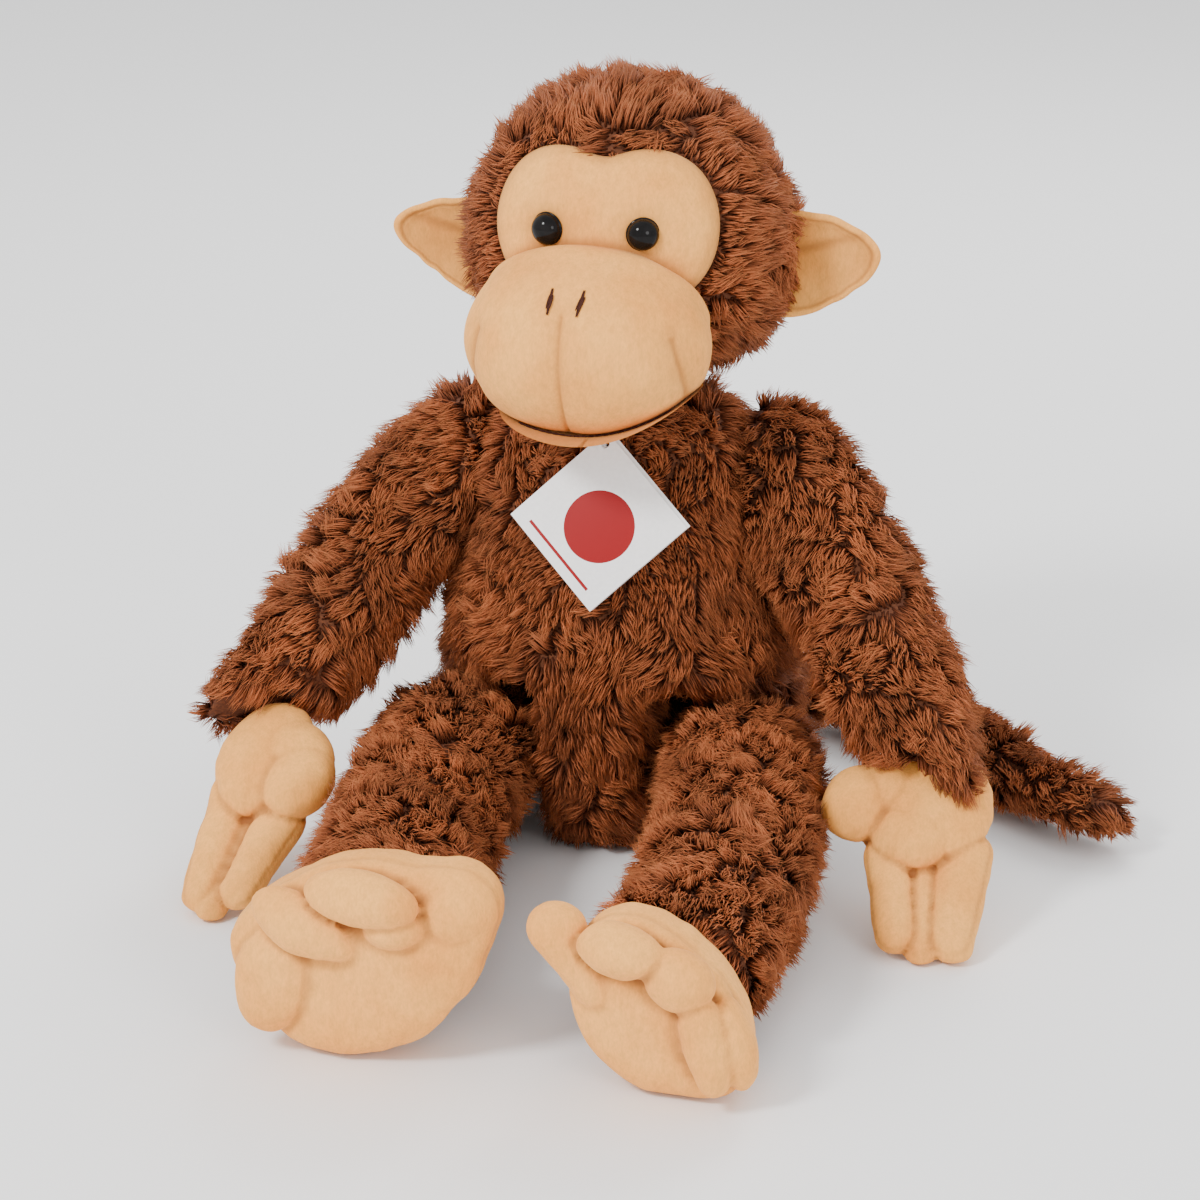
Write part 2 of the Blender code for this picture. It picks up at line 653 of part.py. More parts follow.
def build_punch():
    """The cutter for the hole in both leaves."""
    bm = bmesh.new()
    bmesh.ops.create_cone(bm, cap_ends=True, segments=24, radius1=TAG_HOLE_RADIUS * MM,
                          radius2=TAG_HOLE_RADIUS * MM, depth=8 * MM)
    return place_on_tag(add_object("tag_punch", mesh_from(bm, "tag_punch")))


def card(name, behind, punch):
    """A square leaf that hangs by one corner, with a punched hole."""
    bm = bmesh.new()
    bmesh.ops.create_cube(bm, size=1.0)
    bmesh.ops.scale(bm, verts=bm.verts, vec=mm(TAG_SIDE, TAG_SIDE, TAG_THICKNESS))
    spin = Matrix.Rotation(math.radians(45), 3, "Z")
    bmesh.ops.rotate(bm, verts=bm.verts, cent=(0, 0, 0), matrix=spin)
    drop = TAG_SIDE / math.sqrt(2) - TAG_HOLE_INSET
    bmesh.ops.translate(bm, verts=bm.verts, vec=mm(0, -drop, -behind))
    ob = add_object(name, mesh_from(bm, name), CARD)
    ob.data.shade_flat()
    place_on_tag(ob)
    return cut(ob, punch)


def place_on_tag(ob):
    """The card's plane leans back on the chest, its face to the front and its hole at the hinge."""
    ob.rotation_euler.x = math.radians(90 - TAG_TILT)
    ob.location = mm(*TAG_HOLE)
    return ob


def build_tag():
    punch = build_punch()
    card("tag_front_leaf", 0.0, punch)
    card("tag_back_leaf", TAG_THICKNESS + TAG_LEAF_GAP, punch)
    bpy.ops.mesh.primitive_torus_add(major_radius=FASTENER_RADIUS * MM, minor_radius=FASTENER_WIRE * MM,
                                     major_segments=20, minor_segments=6)
    loop = bpy.context.active_object
    loop.name = "tag_fastener"
    for collection in list(loop.users_collection):
        collection.objects.unlink(loop)
    PARTS.objects.link(loop)
    loop.data.materials.append(CLEAR_PLASTIC)
    loop.data.shade_smooth()
    lean = Matrix.Rotation(math.radians(90 - TAG_TILT), 3, "X")
    edge_on = Matrix.Rotation(math.radians(90), 3, "Y")
    loop.rotation_euler = (lean @ edge_on).to_euler()
    loop.location = mm(*TAG_HOLE) + lean @ mm(0, FASTENER_RADIUS, 0)


# --- assembly -----------------------------------------------------------------------------------

build_torso()
build_head()
build_muzzle()
for each_side in SIGN:
    build_ear(each_side)
    build_arm(each_side)
    build_hand(each_side)
    build_leg(each_side)
    build_foot(each_side)
build_tail()
build_tag()
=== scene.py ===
# %% [markdown]
# # A seated plush monkey
# The toy is made of sewn forms: a torso, a head, two arms, two legs and a tail of long brown pile cloth,
# with hands, feet, ears, face and muzzle of short beige plush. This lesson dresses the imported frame, which
# already has every piece in its place and every joint, with the cloth, the pile and the stitches. The frame
# comes first, because every piece of cloth is made from it and rides on its bodies.

# %% Load the frame
import math

import bmesh
import bpy
import numpy as np
from mathutils import Matrix, Vector, noise
from mathutils.bvhtree import BVHTree


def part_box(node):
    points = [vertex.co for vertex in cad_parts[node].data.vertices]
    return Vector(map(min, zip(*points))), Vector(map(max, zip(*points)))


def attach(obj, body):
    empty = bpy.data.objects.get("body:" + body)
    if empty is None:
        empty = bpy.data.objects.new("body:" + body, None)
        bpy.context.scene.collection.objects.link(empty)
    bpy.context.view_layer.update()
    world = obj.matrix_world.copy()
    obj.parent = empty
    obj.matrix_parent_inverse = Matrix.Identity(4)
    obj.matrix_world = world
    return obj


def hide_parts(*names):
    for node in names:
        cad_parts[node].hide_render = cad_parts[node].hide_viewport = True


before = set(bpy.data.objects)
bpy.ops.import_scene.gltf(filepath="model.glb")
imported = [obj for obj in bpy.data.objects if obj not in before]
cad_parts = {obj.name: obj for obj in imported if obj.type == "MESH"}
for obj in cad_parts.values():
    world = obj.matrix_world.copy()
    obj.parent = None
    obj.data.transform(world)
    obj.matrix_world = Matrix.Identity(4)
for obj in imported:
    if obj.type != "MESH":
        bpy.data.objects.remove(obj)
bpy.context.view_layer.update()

MM = 0.001
SIDES = {"left": 1, "right": -1}


# %% [markdown]
# ## Camera, light and floor
# A toy looks right from a little above and to one side with a long lens, which keeps its proportions true.
# The light is that of a white product studio: one large soft lamp from the upper left, a weaker one from
# the right, and a white room all round. Large lamps give soft shadows, and they show in the eyes as
# highlights.

# %% A camera that looks at a point
CAMERA_TURN = math.radians(14)
CAMERA_RISE = math.radians(20)
CAMERA_TARGET = Vector((-0.010, 0.0, 0.083))
CAMERA_DISTANCE = 1.17
LENS = 89

scene = bpy.context.scene
toward_camera = Vector((math.sin(CAMERA_TURN) * math.cos(CAMERA_RISE),
                        -math.cos(CAMERA_TURN) * math.cos(CAMERA_RISE), math.sin(CAMERA_RISE)))
camera = bpy.data.objects.new("camera", bpy.data.cameras.new("camera"))
camera.data.lens = LENS
camera.location = CAMERA_TARGET + toward_camera * CAMERA_DISTANCE
camera.rotation_euler = toward_camera.to_track_quat("Z", "Y").to_euler()
scene.collection.objects.link(camera)
scene.camera = camera
print("camera at", [round(c, 3) for c in camera.location])


# %% Soft lamps, a white room and a pale floor
LAMPS_AIM = Vector((0, -0.05, 0.12))
ROOM_STRENGTH = 1.3


def soft_lamp(name, place, size, watts):
    lamp = bpy.data.objects.new(name, bpy.data.lights.new(name, "AREA"))
    lamp.data.shape = "DISK"
    lamp.data.size = size
    lamp.data.energy = watts
    lamp.location = place
    aim = LAMPS_AIM - lamp.location
    lamp.rotation_euler = aim.to_track_quat("-Z", "Y").to_euler()
    scene.collection.objects.link(lamp)


soft_lamp("key_lamp", (-0.75, -1.25, 1.35), 0.45, 28)
soft_lamp("fill_lamp", (1.1, -1.2, 0.7), 0.6, 7)
soft_lamp("rim_lamp", (0.2, 1.2, 1.3), 0.9, 14)

world = bpy.data.worlds.new("white_room")
world.use_nodes = True
world.node_tree.nodes["Background"].inputs["Color"].default_value = (1.0, 1.0, 1.0, 1.0)
world.node_tree.nodes["Background"].inputs["Strength"].default_value = ROOM_STRENGTH
scene.world = world


# %% [markdown]
# ## A short way to write node trees
# A material or a Geometry Nodes tree is a set of nodes joined by links. One helper makes a node, and sets
# or links its inputs in the same call, so that a tree reads from top to bottom like a recipe.

# %% One call for a node and its links
def node(tree, kind, inputs=None, **settings):
    made = tree.nodes.new(kind)
    for key, value in settings.items():
        setattr(made, key, value)
    for key, value in (inputs or {}).items():
        if isinstance(value, bpy.types.NodeSocket):
            tree.links.new(value, made.inputs[key])
        else:
            made.inputs[key].default_value = value
    return made


def colour_ramp(tree, factor, stops):
    ramp = node(tree, "ShaderNodeValToRGB", {"Fac": factor})
    elements = ramp.color_ramp.elements
    while len(elements) < len(stops):
        elements.new(0.5)
    for element, (place, colour) in zip(elements, stops):
        element.position = place
        element.color = (*colour, 1.0)
    return ramp.outputs["Color"]


def scaled(tree, colour, strength):
    """A colour made darker or lighter by a number."""
    made = node(tree, "ShaderNodeVectorMath", {0: colour, "Scale": strength}, operation="SCALE")
    return made.outputs["Vector"]


def new_material(name, **finish):
    """A material with its shader, whose fixed values are set on the shader's own sockets."""
    made = bpy.data.materials.new(name)
    made.use_nodes = True
    shader = made.node_tree.nodes["Principled BSDF"]
    for socket, value in finish.items():
        shader.inputs[socket.replace("_", " ")].default_value = value
    return made, made.node_tree, shader


def mottled(name, scale, dark, light, detail=2.0, rough=None, **finish):
    """A plain finish whose colour wavers a little, and its roughness too where a range is given."""
    made, tree, shader = new_material(name, **finish)
    place = node(tree, "ShaderNodeTexCoord").outputs["Object"]
    waver = node(tree, "ShaderNodeTexNoise", {"Vector": place, "Scale": scale, "Detail": detail})
    waver = waver.outputs["Fac"]
    tree.links.new(colour_ramp(tree, waver, [(0.3, dark), (0.7, light)]), shader.inputs["Base Color"])
    if rough:
        spread = node(tree, "ShaderNodeMapRange", {"Value": waver, "To Min": rough[0], "To Max": rough[1]})
        tree.links.new(spread.outputs["Result"], shader.inputs["Roughness"])
    return made


# %% The floor
floor_mesh = bpy.data.meshes.new("floor")
floor_mesh.from_pydata([(-4, -4, 0), (4, -4, 0), (4, 4, 0), (-4, 4, 0)], [], [(0, 1, 2, 3)])
floor = bpy.data.objects.new("floor", floor_mesh)
scene.collection.objects.link(floor)
floor_finish, _, floor_shader = new_material("pale_floor", Roughness=0.7)
floor_shader.inputs["Base Color"].default_value = (0.9, 0.9, 0.9, 1.0)
floor_mesh.materials.append(floor_finish)


# %% [markdown]
# ## The finishes
# Pile cloth is dark at its foot and lighter at its tips: the colour paints shade at the foot, where little
# light reaches, and a highlight on the tips. Each lock also differs a little from the next, and whole patches
# are warmer or paler, by a slow noise. Short plush has a nap instead: too short to see as hairs, it shows as
# a fine grain, pale where it stands, with shade painted warmer and darker into every crease. Both are node
# materials with no image behind them.

# %% Long brown pile
# from a lock's foot to its tip: painted shade at the foot and a painted highlight at the tip
PILE_STOPS = [(0.0, (0.070, 0.016, 0.006)), (0.35, (0.225, 0.061, 0.021)), (0.75, (0.38, 0.108, 0.036)),
              (1.0, (0.55, 0.19, 0.066))]

pile_finish, tree, shader = new_material("brown_pile", Roughness=0.65, Specular_IOR_Level=0.2)
along = node(tree, "ShaderNodeAttribute", attribute_name="along").outputs["Fac"]
tone = node(tree, "ShaderNodeAttribute", attribute_name="tone").outputs["Fac"]
place = node(tree, "ShaderNodeTexCoord").outputs["Object"]
patches = node(tree, "ShaderNodeTexNoise", {"Vector": place, "Scale": 38.0, "Detail": 2.0}).outputs["Fac"]
locks = colour_ramp(tree, along, PILE_STOPS)
shade = node(tree, "ShaderNodeMapRange", {"Value": tone, "To Min": 0.74, "To Max": 1.26}).outputs["Result"]
drift = node(tree, "ShaderNodeMapRange", {"Value": patches, "From Min": 0.3, "From Max": 0.7, "To Min": 0.75,
                                          "To Max": 1.3}).outputs["Result"]
strength = node(tree, "ShaderNodeMath", {0: shade, 1: drift}, operation="MULTIPLY").outputs["Value"]
tinted = scaled(tree, locks, strength)
tree.links.new(tinted, shader.inputs["Base Color"])

# %% The dark backing cloth under the pile
backing_finish = mottled("pile_backing", 900.0, (0.07, 0.018, 0.005), (0.14, 0.04, 0.011), Roughness=0.95)


# %% Short beige plush
MIX_FACTOR, MIX_A, MIX_B, MIX_RESULT = 0, 6, 7, 2     # a colour mix's sockets, which share their names


def plush_material(name, pale, warm, crease_shade_colour):
    """Short plush: a pale nap, warmer in slow patches, painted shade in creases, with a fine raised grain."""
    made, tree, shader = new_material(name, Roughness=0.85, Specular_IOR_Level=0.25, Sheen_Weight=0.15,
                                      Sheen_Roughness=0.45)
    shader.inputs["Sheen Tint"].default_value = (1.0, 0.72, 0.42, 1.0)
    place = node(tree, "ShaderNodeTexCoord").outputs["Object"]
    slow = node(tree, "ShaderNodeTexNoise", {"Vector": place, "Scale": 34.0, "Detail": 3.0}).outputs["Fac"]
    brushed = node(tree, "ShaderNodeMapping", {"Vector": place, "Scale": (1.0, 1.0, 0.45)}).outputs["Vector"]
    nap = node(tree, "ShaderNodeTexNoise", {"Vector": brushed, "Scale": 1500.0, "Detail": 2.0})
    flecks = node(tree, "ShaderNodeTexNoise", {"Vector": brushed, "Scale": 520.0, "Detail": 3.0})
    base = colour_ramp(tree, slow, [(0.3, warm), (0.62, pale)])
    both = {0: nap.outputs["Fac"], 1: flecks.outputs["Fac"]}
    grain = node(tree, "ShaderNodeMath", both, operation="ADD").outputs["Value"]
    level = node(tree, "ShaderNodeMapRange", {
        "Value": grain, "From Min": 0.7, "From Max": 1.3, "To Min": 0.88, "To Max": 1.1,
    }).outputs["Result"]
    grained = scaled(tree, base, level)
    # painted shade: the colour turns towards the shade colour where the attribute marks a crease, seam or
    # contact
    crease_shade = node(tree, "ShaderNodeAttribute", attribute_name="crease_shade").outputs["Fac"]
    mixed = node(tree, "ShaderNodeMix", data_type="RGBA")
    tree.links.new(crease_shade, mixed.inputs[MIX_FACTOR])
    tree.links.new(grained, mixed.inputs[MIX_A])
    mixed.inputs[MIX_B].default_value = (*crease_shade_colour, 1.0)
    tree.links.new(mixed.outputs[MIX_RESULT], shader.inputs["Base Color"])
    bump = node(tree, "ShaderNodeBump", {"Height": grain, "Strength": 0.35, "Distance": 0.0004})
    tree.links.new(bump.outputs["Normal"], shader.inputs["Normal"])
    return made


PLUSH_PALE = (0.90, 0.41, 0.09)
PLUSH_WARM = (0.78, 0.305, 0.055)
# the colour of the shade painted into creases, seams and contacts
PLUSH_CREASE_SHADE = (0.28, 0.095, 0.022)
plush_finish = plush_material("beige_plush_nap", PLUSH_PALE, PLUSH_WARM, PLUSH_CREASE_SHADE)

# %% Thread, glossy plastic and two nylons
thread_finish = mottled("brown_thread_twist", 2200.0, (0.02, 0.005, 0.003), (0.075, 0.022, 0.014),
                        Roughness=0.8, Specular_IOR_Level=0.15)
eye_finish = mottled("black_eye_plastic", 260.0, (0.004, 0.0035, 0.0035), (0.009, 0.008, 0.008), detail=4.0,
                     rough=(0.02, 0.06), Specular_IOR_Level=0.12)
nylon_finish = mottled("clear_nylon", 900.0, (0.8, 0.8, 0.8), (0.88, 0.88, 0.88), rough=(0.2, 0.4),
                       Transmission_Weight=0.35, IOR=1.45)
washer_finish = mottled("washer_nylon", 400.0, (0.74, 0.74, 0.71), (0.8, 0.8, 0.78), Roughness=0.4)
print(len(bpy.data.materials), "materials so far")


# %% [markdown]
# ## Stuffed forms
# A stuffed limb is two panels of cloth sewn along their edges, turned out and filled until the cloth is
# tight. The frame's own panels give the size. They are copied, merged into one closed skin by a voxel
# remesh, drawn in a little, and then blown up from inside by Blender's Cloth, which rounds the form as
# stuffing does. A cap keeps every point near the frame. Low swells and dents are then pressed in, because
# stuffing is never even.

# %% Meshes in and out of Blender's modifiers
def link(name, mesh):
    made = bpy.data.objects.new(name, mesh)
    scene.collection.objects.link(made)
    return made


def applied(ob):
    """The object's mesh with its modifiers done, as a new mesh. The object is removed."""
    graph = bpy.context.evaluated_depsgraph_get()
    mesh = bpy.data.meshes.new_from_object(ob.evaluated_get(graph))
    bpy.data.objects.remove(ob, do_unlink=True)
    return mesh


def points_of(mesh):
    flat = np.empty(len(mesh.vertices) * 3)
    mesh.vertices.foreach_get("co", flat)
    return flat.reshape(-1, 3)


def normals_of(mesh):
    flat = np.empty(len(mesh.vertices) * 3, np.float32)
    mesh.vertex_normals.foreach_get("vector", flat)
    return flat.reshape(-1, 3).astype(float)


def set_points(mesh, points):
    mesh.vertices.foreach_set("co", np.asarray(points, float).ravel())
    mesh.update()


def set_attribute(mesh, name, values, kind="FLOAT"):
    made = mesh.attributes.get(name) or mesh.attributes.new(name, kind, "POINT")
    key = "value" if kind == "FLOAT" else "vector"
    made.data.foreach_set(key, np.asarray(values, np.float32).ravel())


def read_attribute(mesh, name):
    values = np.empty(len(mesh.vertices), np.float32)
    mesh.attributes[name].data.foreach_get("value", values)
    return values


def remeshed(name, mesh, voxel, smoothing=0):
    """One closed skin round everything in the mesh, without the walls inside it."""
    ob = link(name, mesh)
    remesh = ob.modifiers.new("skin", "REMESH")
    remesh.mode = "VOXEL"
    remesh.voxel_size = voxel
    if smoothing:
        smooth = ob.modifiers.new("smooth", "SMOOTH")
        smooth.factor = 0.5
        smooth.iterations = smoothing
    skin = applied(ob)
    bm = bmesh.new()
    bm.from_mesh(skin)
    islands = []
    unseen = set(bm.verts)
    while unseen:
        stack = [unseen.pop()]
        island = list(stack)
        while stack:
            for edge in stack.pop().link_edges:
                for v in edge.verts:
                    if v in unseen:
                        unseen.discard(v)
                        stack.append(v)
                        island.append(v)
        islands.append(island)
    islands.sort(key=len)
    for small in islands[:-1]:
        bmesh.ops.delete(bm, geom=small, context="VERTS")
    bm.to_mesh(skin)
    bm.free()
    return skin


def subdivided(name, mesh):
    ob = link(name, mesh)
    finer = ob.modifiers.new("finer", "SUBSURF")
    finer.levels = finer.render_levels = 1
    return applied(ob)


# %% Copies of the frame's panels, merged
def frame_copy(names):
    bm = bmesh.new()
    for name in names:
        bm.from_mesh(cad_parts[name].data)
    bmesh.ops.remove_doubles(bm, verts=bm.verts, dist=0.00001)
    mesh = bpy.data.meshes.new("panels")
    bm.to_mesh(mesh)
    bm.free()
    return mesh


# %% Cloth that swells like a filled skin
STUFFING_PRESSURE = 4.0
LAST_FRAME = 20


def swollen(name, mesh, cap):
    """The mesh blown up by Cloth, with no point more than the cap from where it was."""
    before = points_of(mesh)
    ob = link(name, mesh)
    cloth = ob.modifiers.new("filling", "CLOTH")
    cloth.settings.use_pressure = True
    cloth.settings.uniform_pressure_force = STUFFING_PRESSURE
    cloth.settings.effector_weights.gravity = 0.0
    for frame_number in range(1, LAST_FRAME + 1):
        scene.frame_set(frame_number)
    after = points_of(ob.evaluated_get(bpy.context.evaluated_depsgraph_get()).data)
    scene.frame_set(1)
    ob.modifiers.remove(cloth)
    bpy.data.objects.remove(ob, do_unlink=True)
    move = after - before
    far = np.linalg.norm(move, axis=1, keepdims=True)
    set_points(mesh, before + move * np.minimum(1.0, cap / np.maximum(far, 1e-9)))
    return mesh


# %% Swells, dents and creases
def lumps(points, scale, depth, seed):
    """A smooth random height at each point, from minus to plus the depth."""
    shift = Vector((seed * 7.3, seed * 1.9, seed * 4.1))
    return np.array([noise.noise(Vector(p) * scale + shift) for p in points]) * depth


VOXEL = 5 * MM
DRAWN_IN = 3.0 * MM
SWELL_CAP = 3.5 * MM
LUMP = 2.0 * MM
LUMPS = ((34.0, LUMP, 0), (75.0, LUMP * 0.5, 3))       # how fine, how high, and what is added to the seed
LEAST_HEIGHT = 1.0 * MM


def stuffed(name, nodes, seed):
    skin = remeshed(name, frame_copy(nodes), VOXEL, smoothing=3)
    set_points(skin, points_of(skin) - normals_of(skin) * DRAWN_IN)
    skin = swollen(name, skin, SWELL_CAP)
    skin = subdivided(name, skin)
    points = points_of(skin)
    height = sum(lumps(points, fine, high, seed + more) for fine, high, more in LUMPS)
    set_points(skin, points + normals_of(skin) * height[:, None])
    points = points_of(skin)
    points[:, 2] = np.maximum(points[:, 2], LEAST_HEIGHT)
    set_points(skin, points)
    skin.shade_smooth()
    skin.materials.clear()
    skin.materials.append(backing_finish)
    print(f"{name}: {len(skin.vertices)} points")
    return link(name, skin)


FORMS = {                      # stuffed form: its body and the frame's nodes under its skin
    "torso_form": ("torso", ["torso_fur_left", "torso_fur_right", "torso_stuffing"]),
    "head_form": ("head", ["head_fur_left", "head_fur_right", "head_stuffing", "face_mask"]),
    "tail_form": ("tail", ["tail_fur_upper", "tail_fur_lower", "tail_stuffing"]),
}
for side in SIDES:
    for limb in ("arm", "leg"):
        panels = [f"{limb}_{side}_fur_outer", f"{limb}_{side}_fur_inner", f"{limb}_{side}_stuffing"]
        FORMS[f"{limb}_{side}_form"] = (f"{limb}_{side}", panels)

forms = {}
for seed, (name, (_, nodes)) in enumerate(FORMS.items(), start=1):
    forms[name] = stuffed(name, nodes, seed)


# %% [markdown]
# ## Long pile, grown by Geometry Nodes
# Pile cloth carries tens of thousands of fine locks. They repeat, so Geometry Nodes grow them: points are
# scattered on the skin, and each gets a thin three-sided spike. What makes it read as plush is that the
# locks don't stand alone. A second, sparser scatter marks tufts, and each lock leans its tip towards its
# tuft's own tip, while a slow noise turns whole tufts this way and that, as hands do to a toy that is
# stroked.

# %% Small helpers for fields
RANDOM_MIN, RANDOM_MAX, RANDOM_SEED, RANDOM_VALUE = 2, 3, 8, 1


def random_between(tree, low, high, seed):
    made = node(tree, "FunctionNodeRandomValue", {RANDOM_MIN: low, RANDOM_MAX: high, RANDOM_SEED: seed})
    return made.outputs[RANDOM_VALUE]


def vector(tree, operation, a, b=None):
    """A vector sum, difference or normalised vector. Scale takes a number or a number socket as b."""
    inputs = {0: a}
    if b is not None:
        inputs["Scale" if operation == "SCALE" else 1] = b
    made = node(tree, "ShaderNodeVectorMath", inputs, operation=operation)
    return made.outputs["Value" if operation == "DOT_PRODUCT" else "Vector"]


def number(tree, operation, a, b=None):
    inputs = {0: a} if b is None else {0: a, 1: b}
    return node(tree, "ShaderNodeMath", inputs, operation=operation).outputs["Value"]


def attribute(tree, name, kind="FLOAT"):
    return node(tree, "GeometryNodeInputNamedAttribute", {"Name": name}, data_type=kind).outputs["Attribute"]


def sampled(tree, geometry, value, index, kind="FLOAT_VECTOR"):
    made = node(tree, "GeometryNodeSampleIndex", {"Geometry": geometry, "Value": value, "Index": index},
                data_type=kind)
    return made.outputs["Value"]


def new_tree(name, sockets):
    """A Geometry Nodes tree with a mesh in, a mesh out and named size inputs, each with its usual value."""
    tree = bpy.data.node_groups.new(name, "GeometryNodeTree")
    tree.interface.new_socket("Geometry", in_out="INPUT", socket_type="NodeSocketGeometry")
    for label, value in sockets.items():
        kind = "NodeSocketInt" if isinstance(value, int) else "NodeSocketFloat"
        made = tree.interface.new_socket(label, in_out="INPUT", socket_type=kind)
        made.default_value = value
    tree.interface.new_socket("Geometry", in_out="OUTPUT", socket_type="NodeSocketGeometry")
    return tree, node(tree, "NodeGroupInput").outputs


def end_tree(tree, instances, finish):
    """Ends a tree: the copies are made real, smooth and of one finish."""
    made = node(tree, "GeometryNodeRealizeInstances", {"Geometry": instances}).outputs["Geometry"]
    made = node(tree, "GeometryNodeSetShadeSmooth", {"Geometry": made}).outputs["Geometry"]
    made = node(tree, "GeometryNodeSetMaterial", {"Geometry": made, "Material": finish}).outputs["Geometry"]
    node(tree, "NodeGroupOutput", {"Geometry": made})


def grown(name, mesh, tree, **sizes):
    """Runs a tree on a copy of the mesh and returns the plain mesh that it makes."""
    ob = link(name + "_grower", mesh.copy())
    modifier = ob.modifiers.new("grow", "NODES")
    modifier.node_group = tree
    for item in tree.interface.items_tree:
        if item.in_out == "INPUT" and item.name in sizes:
            modifier[item.identifier] = sizes[item.name]
    return applied(ob)


# %% The pile tree: one lock
PILE_SIZES = {
    "Density": 340000.0, "Tuft Density": 38000.0, "Length": 0.0108, "Width": 0.00078, "Thinness": 0.5,
    "Bend": 0.16, "Gather": 0.38, "Swirl": 1.0, "Swirl Size": 50.0, "Lowest Lift": 18.0, "Highest Lift": 58.0,
    "Frizz": 0.22, "Segments": 2, "Seed": 1,
}

pile_tree, given = new_tree("long_pile", PILE_SIZES)
tree = pile_tree
cone = node(tree, "GeometryNodeMeshCone", {
    "Vertices": 3, "Side Segments": given["Segments"], "Radius Top": 0.0, "Radius Bottom": 0.5, "Depth": 1.0,
}).outputs["Mesh"]
here = node(tree, "GeometryNodeInputPosition").outputs["Position"]
height = node(tree, "ShaderNodeSeparateXYZ", {0: here}).outputs["Z"]
arch = number(tree, "MULTIPLY", number(tree, "MULTIPLY", height, number(tree, "SUBTRACT", 1.0, height)), 4.0)
fuller = number(tree, "ADD", 1.0, number(tree, "MULTIPLY", arch, 0.75))
across = number(tree, "MULTIPLY", given["Width"], given["Thinness"])
reach = number(tree, "DIVIDE", number(tree, "MULTIPLY", given["Bend"], given["Length"]), across)
outward = node(tree, "ShaderNodeCombineXYZ", {0: number(tree, "MULTIPLY", reach, arch)}).outputs["Vector"]
widths = node(tree, "ShaderNodeCombineXYZ", {0: fuller, 1: fuller, 2: 1.0}).outputs["Vector"]
shaped = vector(tree, "ADD", vector(tree, "MULTIPLY", here, widths), outward)
lock = node(tree, "GeometryNodeSetPosition", {"Geometry": cone, "Position": shaped}).outputs["Geometry"]
lock = node(tree, "GeometryNodeStoreNamedAttribute", {"Geometry": lock, "Name": "along", "Value": height},
            data_type="FLOAT", domain="POINT").outputs["Geometry"]

print("a lock of pile is", round(PILE_SIZES["Length"] * 1000, 1), "mm long")

# %% The pile tree: tufts and their tips
pile_here = attribute(tree, "pile")
length_here = number(tree, "MULTIPLY", attribute(tree, "pile_length"), given["Length"])
tuft_scatter = node(tree, "GeometryNodeDistributePointsOnFaces",
                    {"Mesh": given["Geometry"],
                     "Density": number(tree, "MULTIPLY", pile_here, given["Tuft Density"]),
                     "Seed": given["Seed"]}, distribute_method="RANDOM")
tufts = tuft_scatter.outputs["Points"]
tuft_normal = tuft_scatter.outputs["Normal"]
position = node(tree, "GeometryNodeInputPosition").outputs["Position"]
turning = node(tree, "ShaderNodeTexNoise", {"Vector": position, "Scale": given["Swirl Size"],
                                            "Detail": 1.0}).outputs["Color"]
turning = vector(tree, "SCALE", vector(tree, "SUBTRACT", turning, (0.5, 0.5, 0.5)),
                 number(tree, "MULTIPLY", given["Swirl"], 6.0))
comb = vector(tree, "ADD", attribute(tree, "lay", "FLOAT_VECTOR"), turning)
against = vector(tree, "SCALE", tuft_normal, vector(tree, "DOT_PRODUCT", comb, tuft_normal))
comb = vector(tree, "NORMALIZE", vector(tree, "SUBTRACT", comb, against))
lift = number(tree, "RADIANS", random_between(tree, given["Lowest Lift"], given["Highest Lift"], 11))
tuft_length = number(tree, "MULTIPLY", length_here, random_between(tree, 0.75, 1.12, 12))
lean = vector(tree, "ADD", vector(tree, "SCALE", comb, number(tree, "COSINE", lift)),
              vector(tree, "SCALE", tuft_normal, number(tree, "SINE", lift)))
lean = vector(tree, "SCALE", lean, tuft_length)
tuft_tip = vector(tree, "ADD", position, lean)
tuft_tone = random_between(tree, 0.0, 1.0, 13)
print("locks to a tuft:", round(PILE_SIZES["Density"] / PILE_SIZES["Tuft Density"], 1))

# %% The pile tree: locks that lean into their tufts
scatter = node(tree, "GeometryNodeDistributePointsOnFaces",
               {"Mesh": given["Geometry"], "Density": number(tree, "MULTIPLY", pile_here, given["Density"]),
                "Seed": number(tree, "ADD", given["Seed"], 100.0)}, distribute_method="RANDOM")
roots = scatter.outputs["Points"]
nearest = node(tree, "GeometryNodeSampleNearest", {"Geometry": tufts, "Sample Position": position},
               domain="POINT").outputs["Index"]
frizz = node(tree, "FunctionNodeRandomValue", {0: (-1.0, -1.0, -1.0), 1: (1.0, 1.0, 1.0), RANDOM_SEED: 21},
             data_type="FLOAT_VECTOR").outputs[0]
frizz = vector(tree, "SCALE", frizz, number(tree, "MULTIPLY", given["Frizz"], length_here))
own_lean = vector(tree, "SCALE", sampled(tree, tufts, lean, nearest), random_between(tree, 0.8, 1.12, 22))
own_tip = vector(tree, "ADD", vector(tree, "ADD", position, own_lean), frizz)
shared_tip = sampled(tree, tufts, tuft_tip, nearest)
pull = vector(tree, "SCALE", vector(tree, "SUBTRACT", shared_tip, own_tip),
              number(tree, "MULTIPLY", given["Gather"], random_between(tree, 0.6, 1.0, 23)))
way = vector(tree, "SUBTRACT", vector(tree, "ADD", own_tip, pull), position)
span = node(tree, "ShaderNodeVectorMath", {0: way}, operation="LENGTH").outputs["Value"]
aimed = node(tree, "FunctionNodeAlignRotationToVector", {"Vector": way}, axis="Z").outputs["Rotation"]
faced = {"Rotation": aimed, "Vector": scatter.outputs["Normal"]}
aimed = node(tree, "FunctionNodeAlignRotationToVector", faced, axis="X", pivot_axis="Z").outputs["Rotation"]
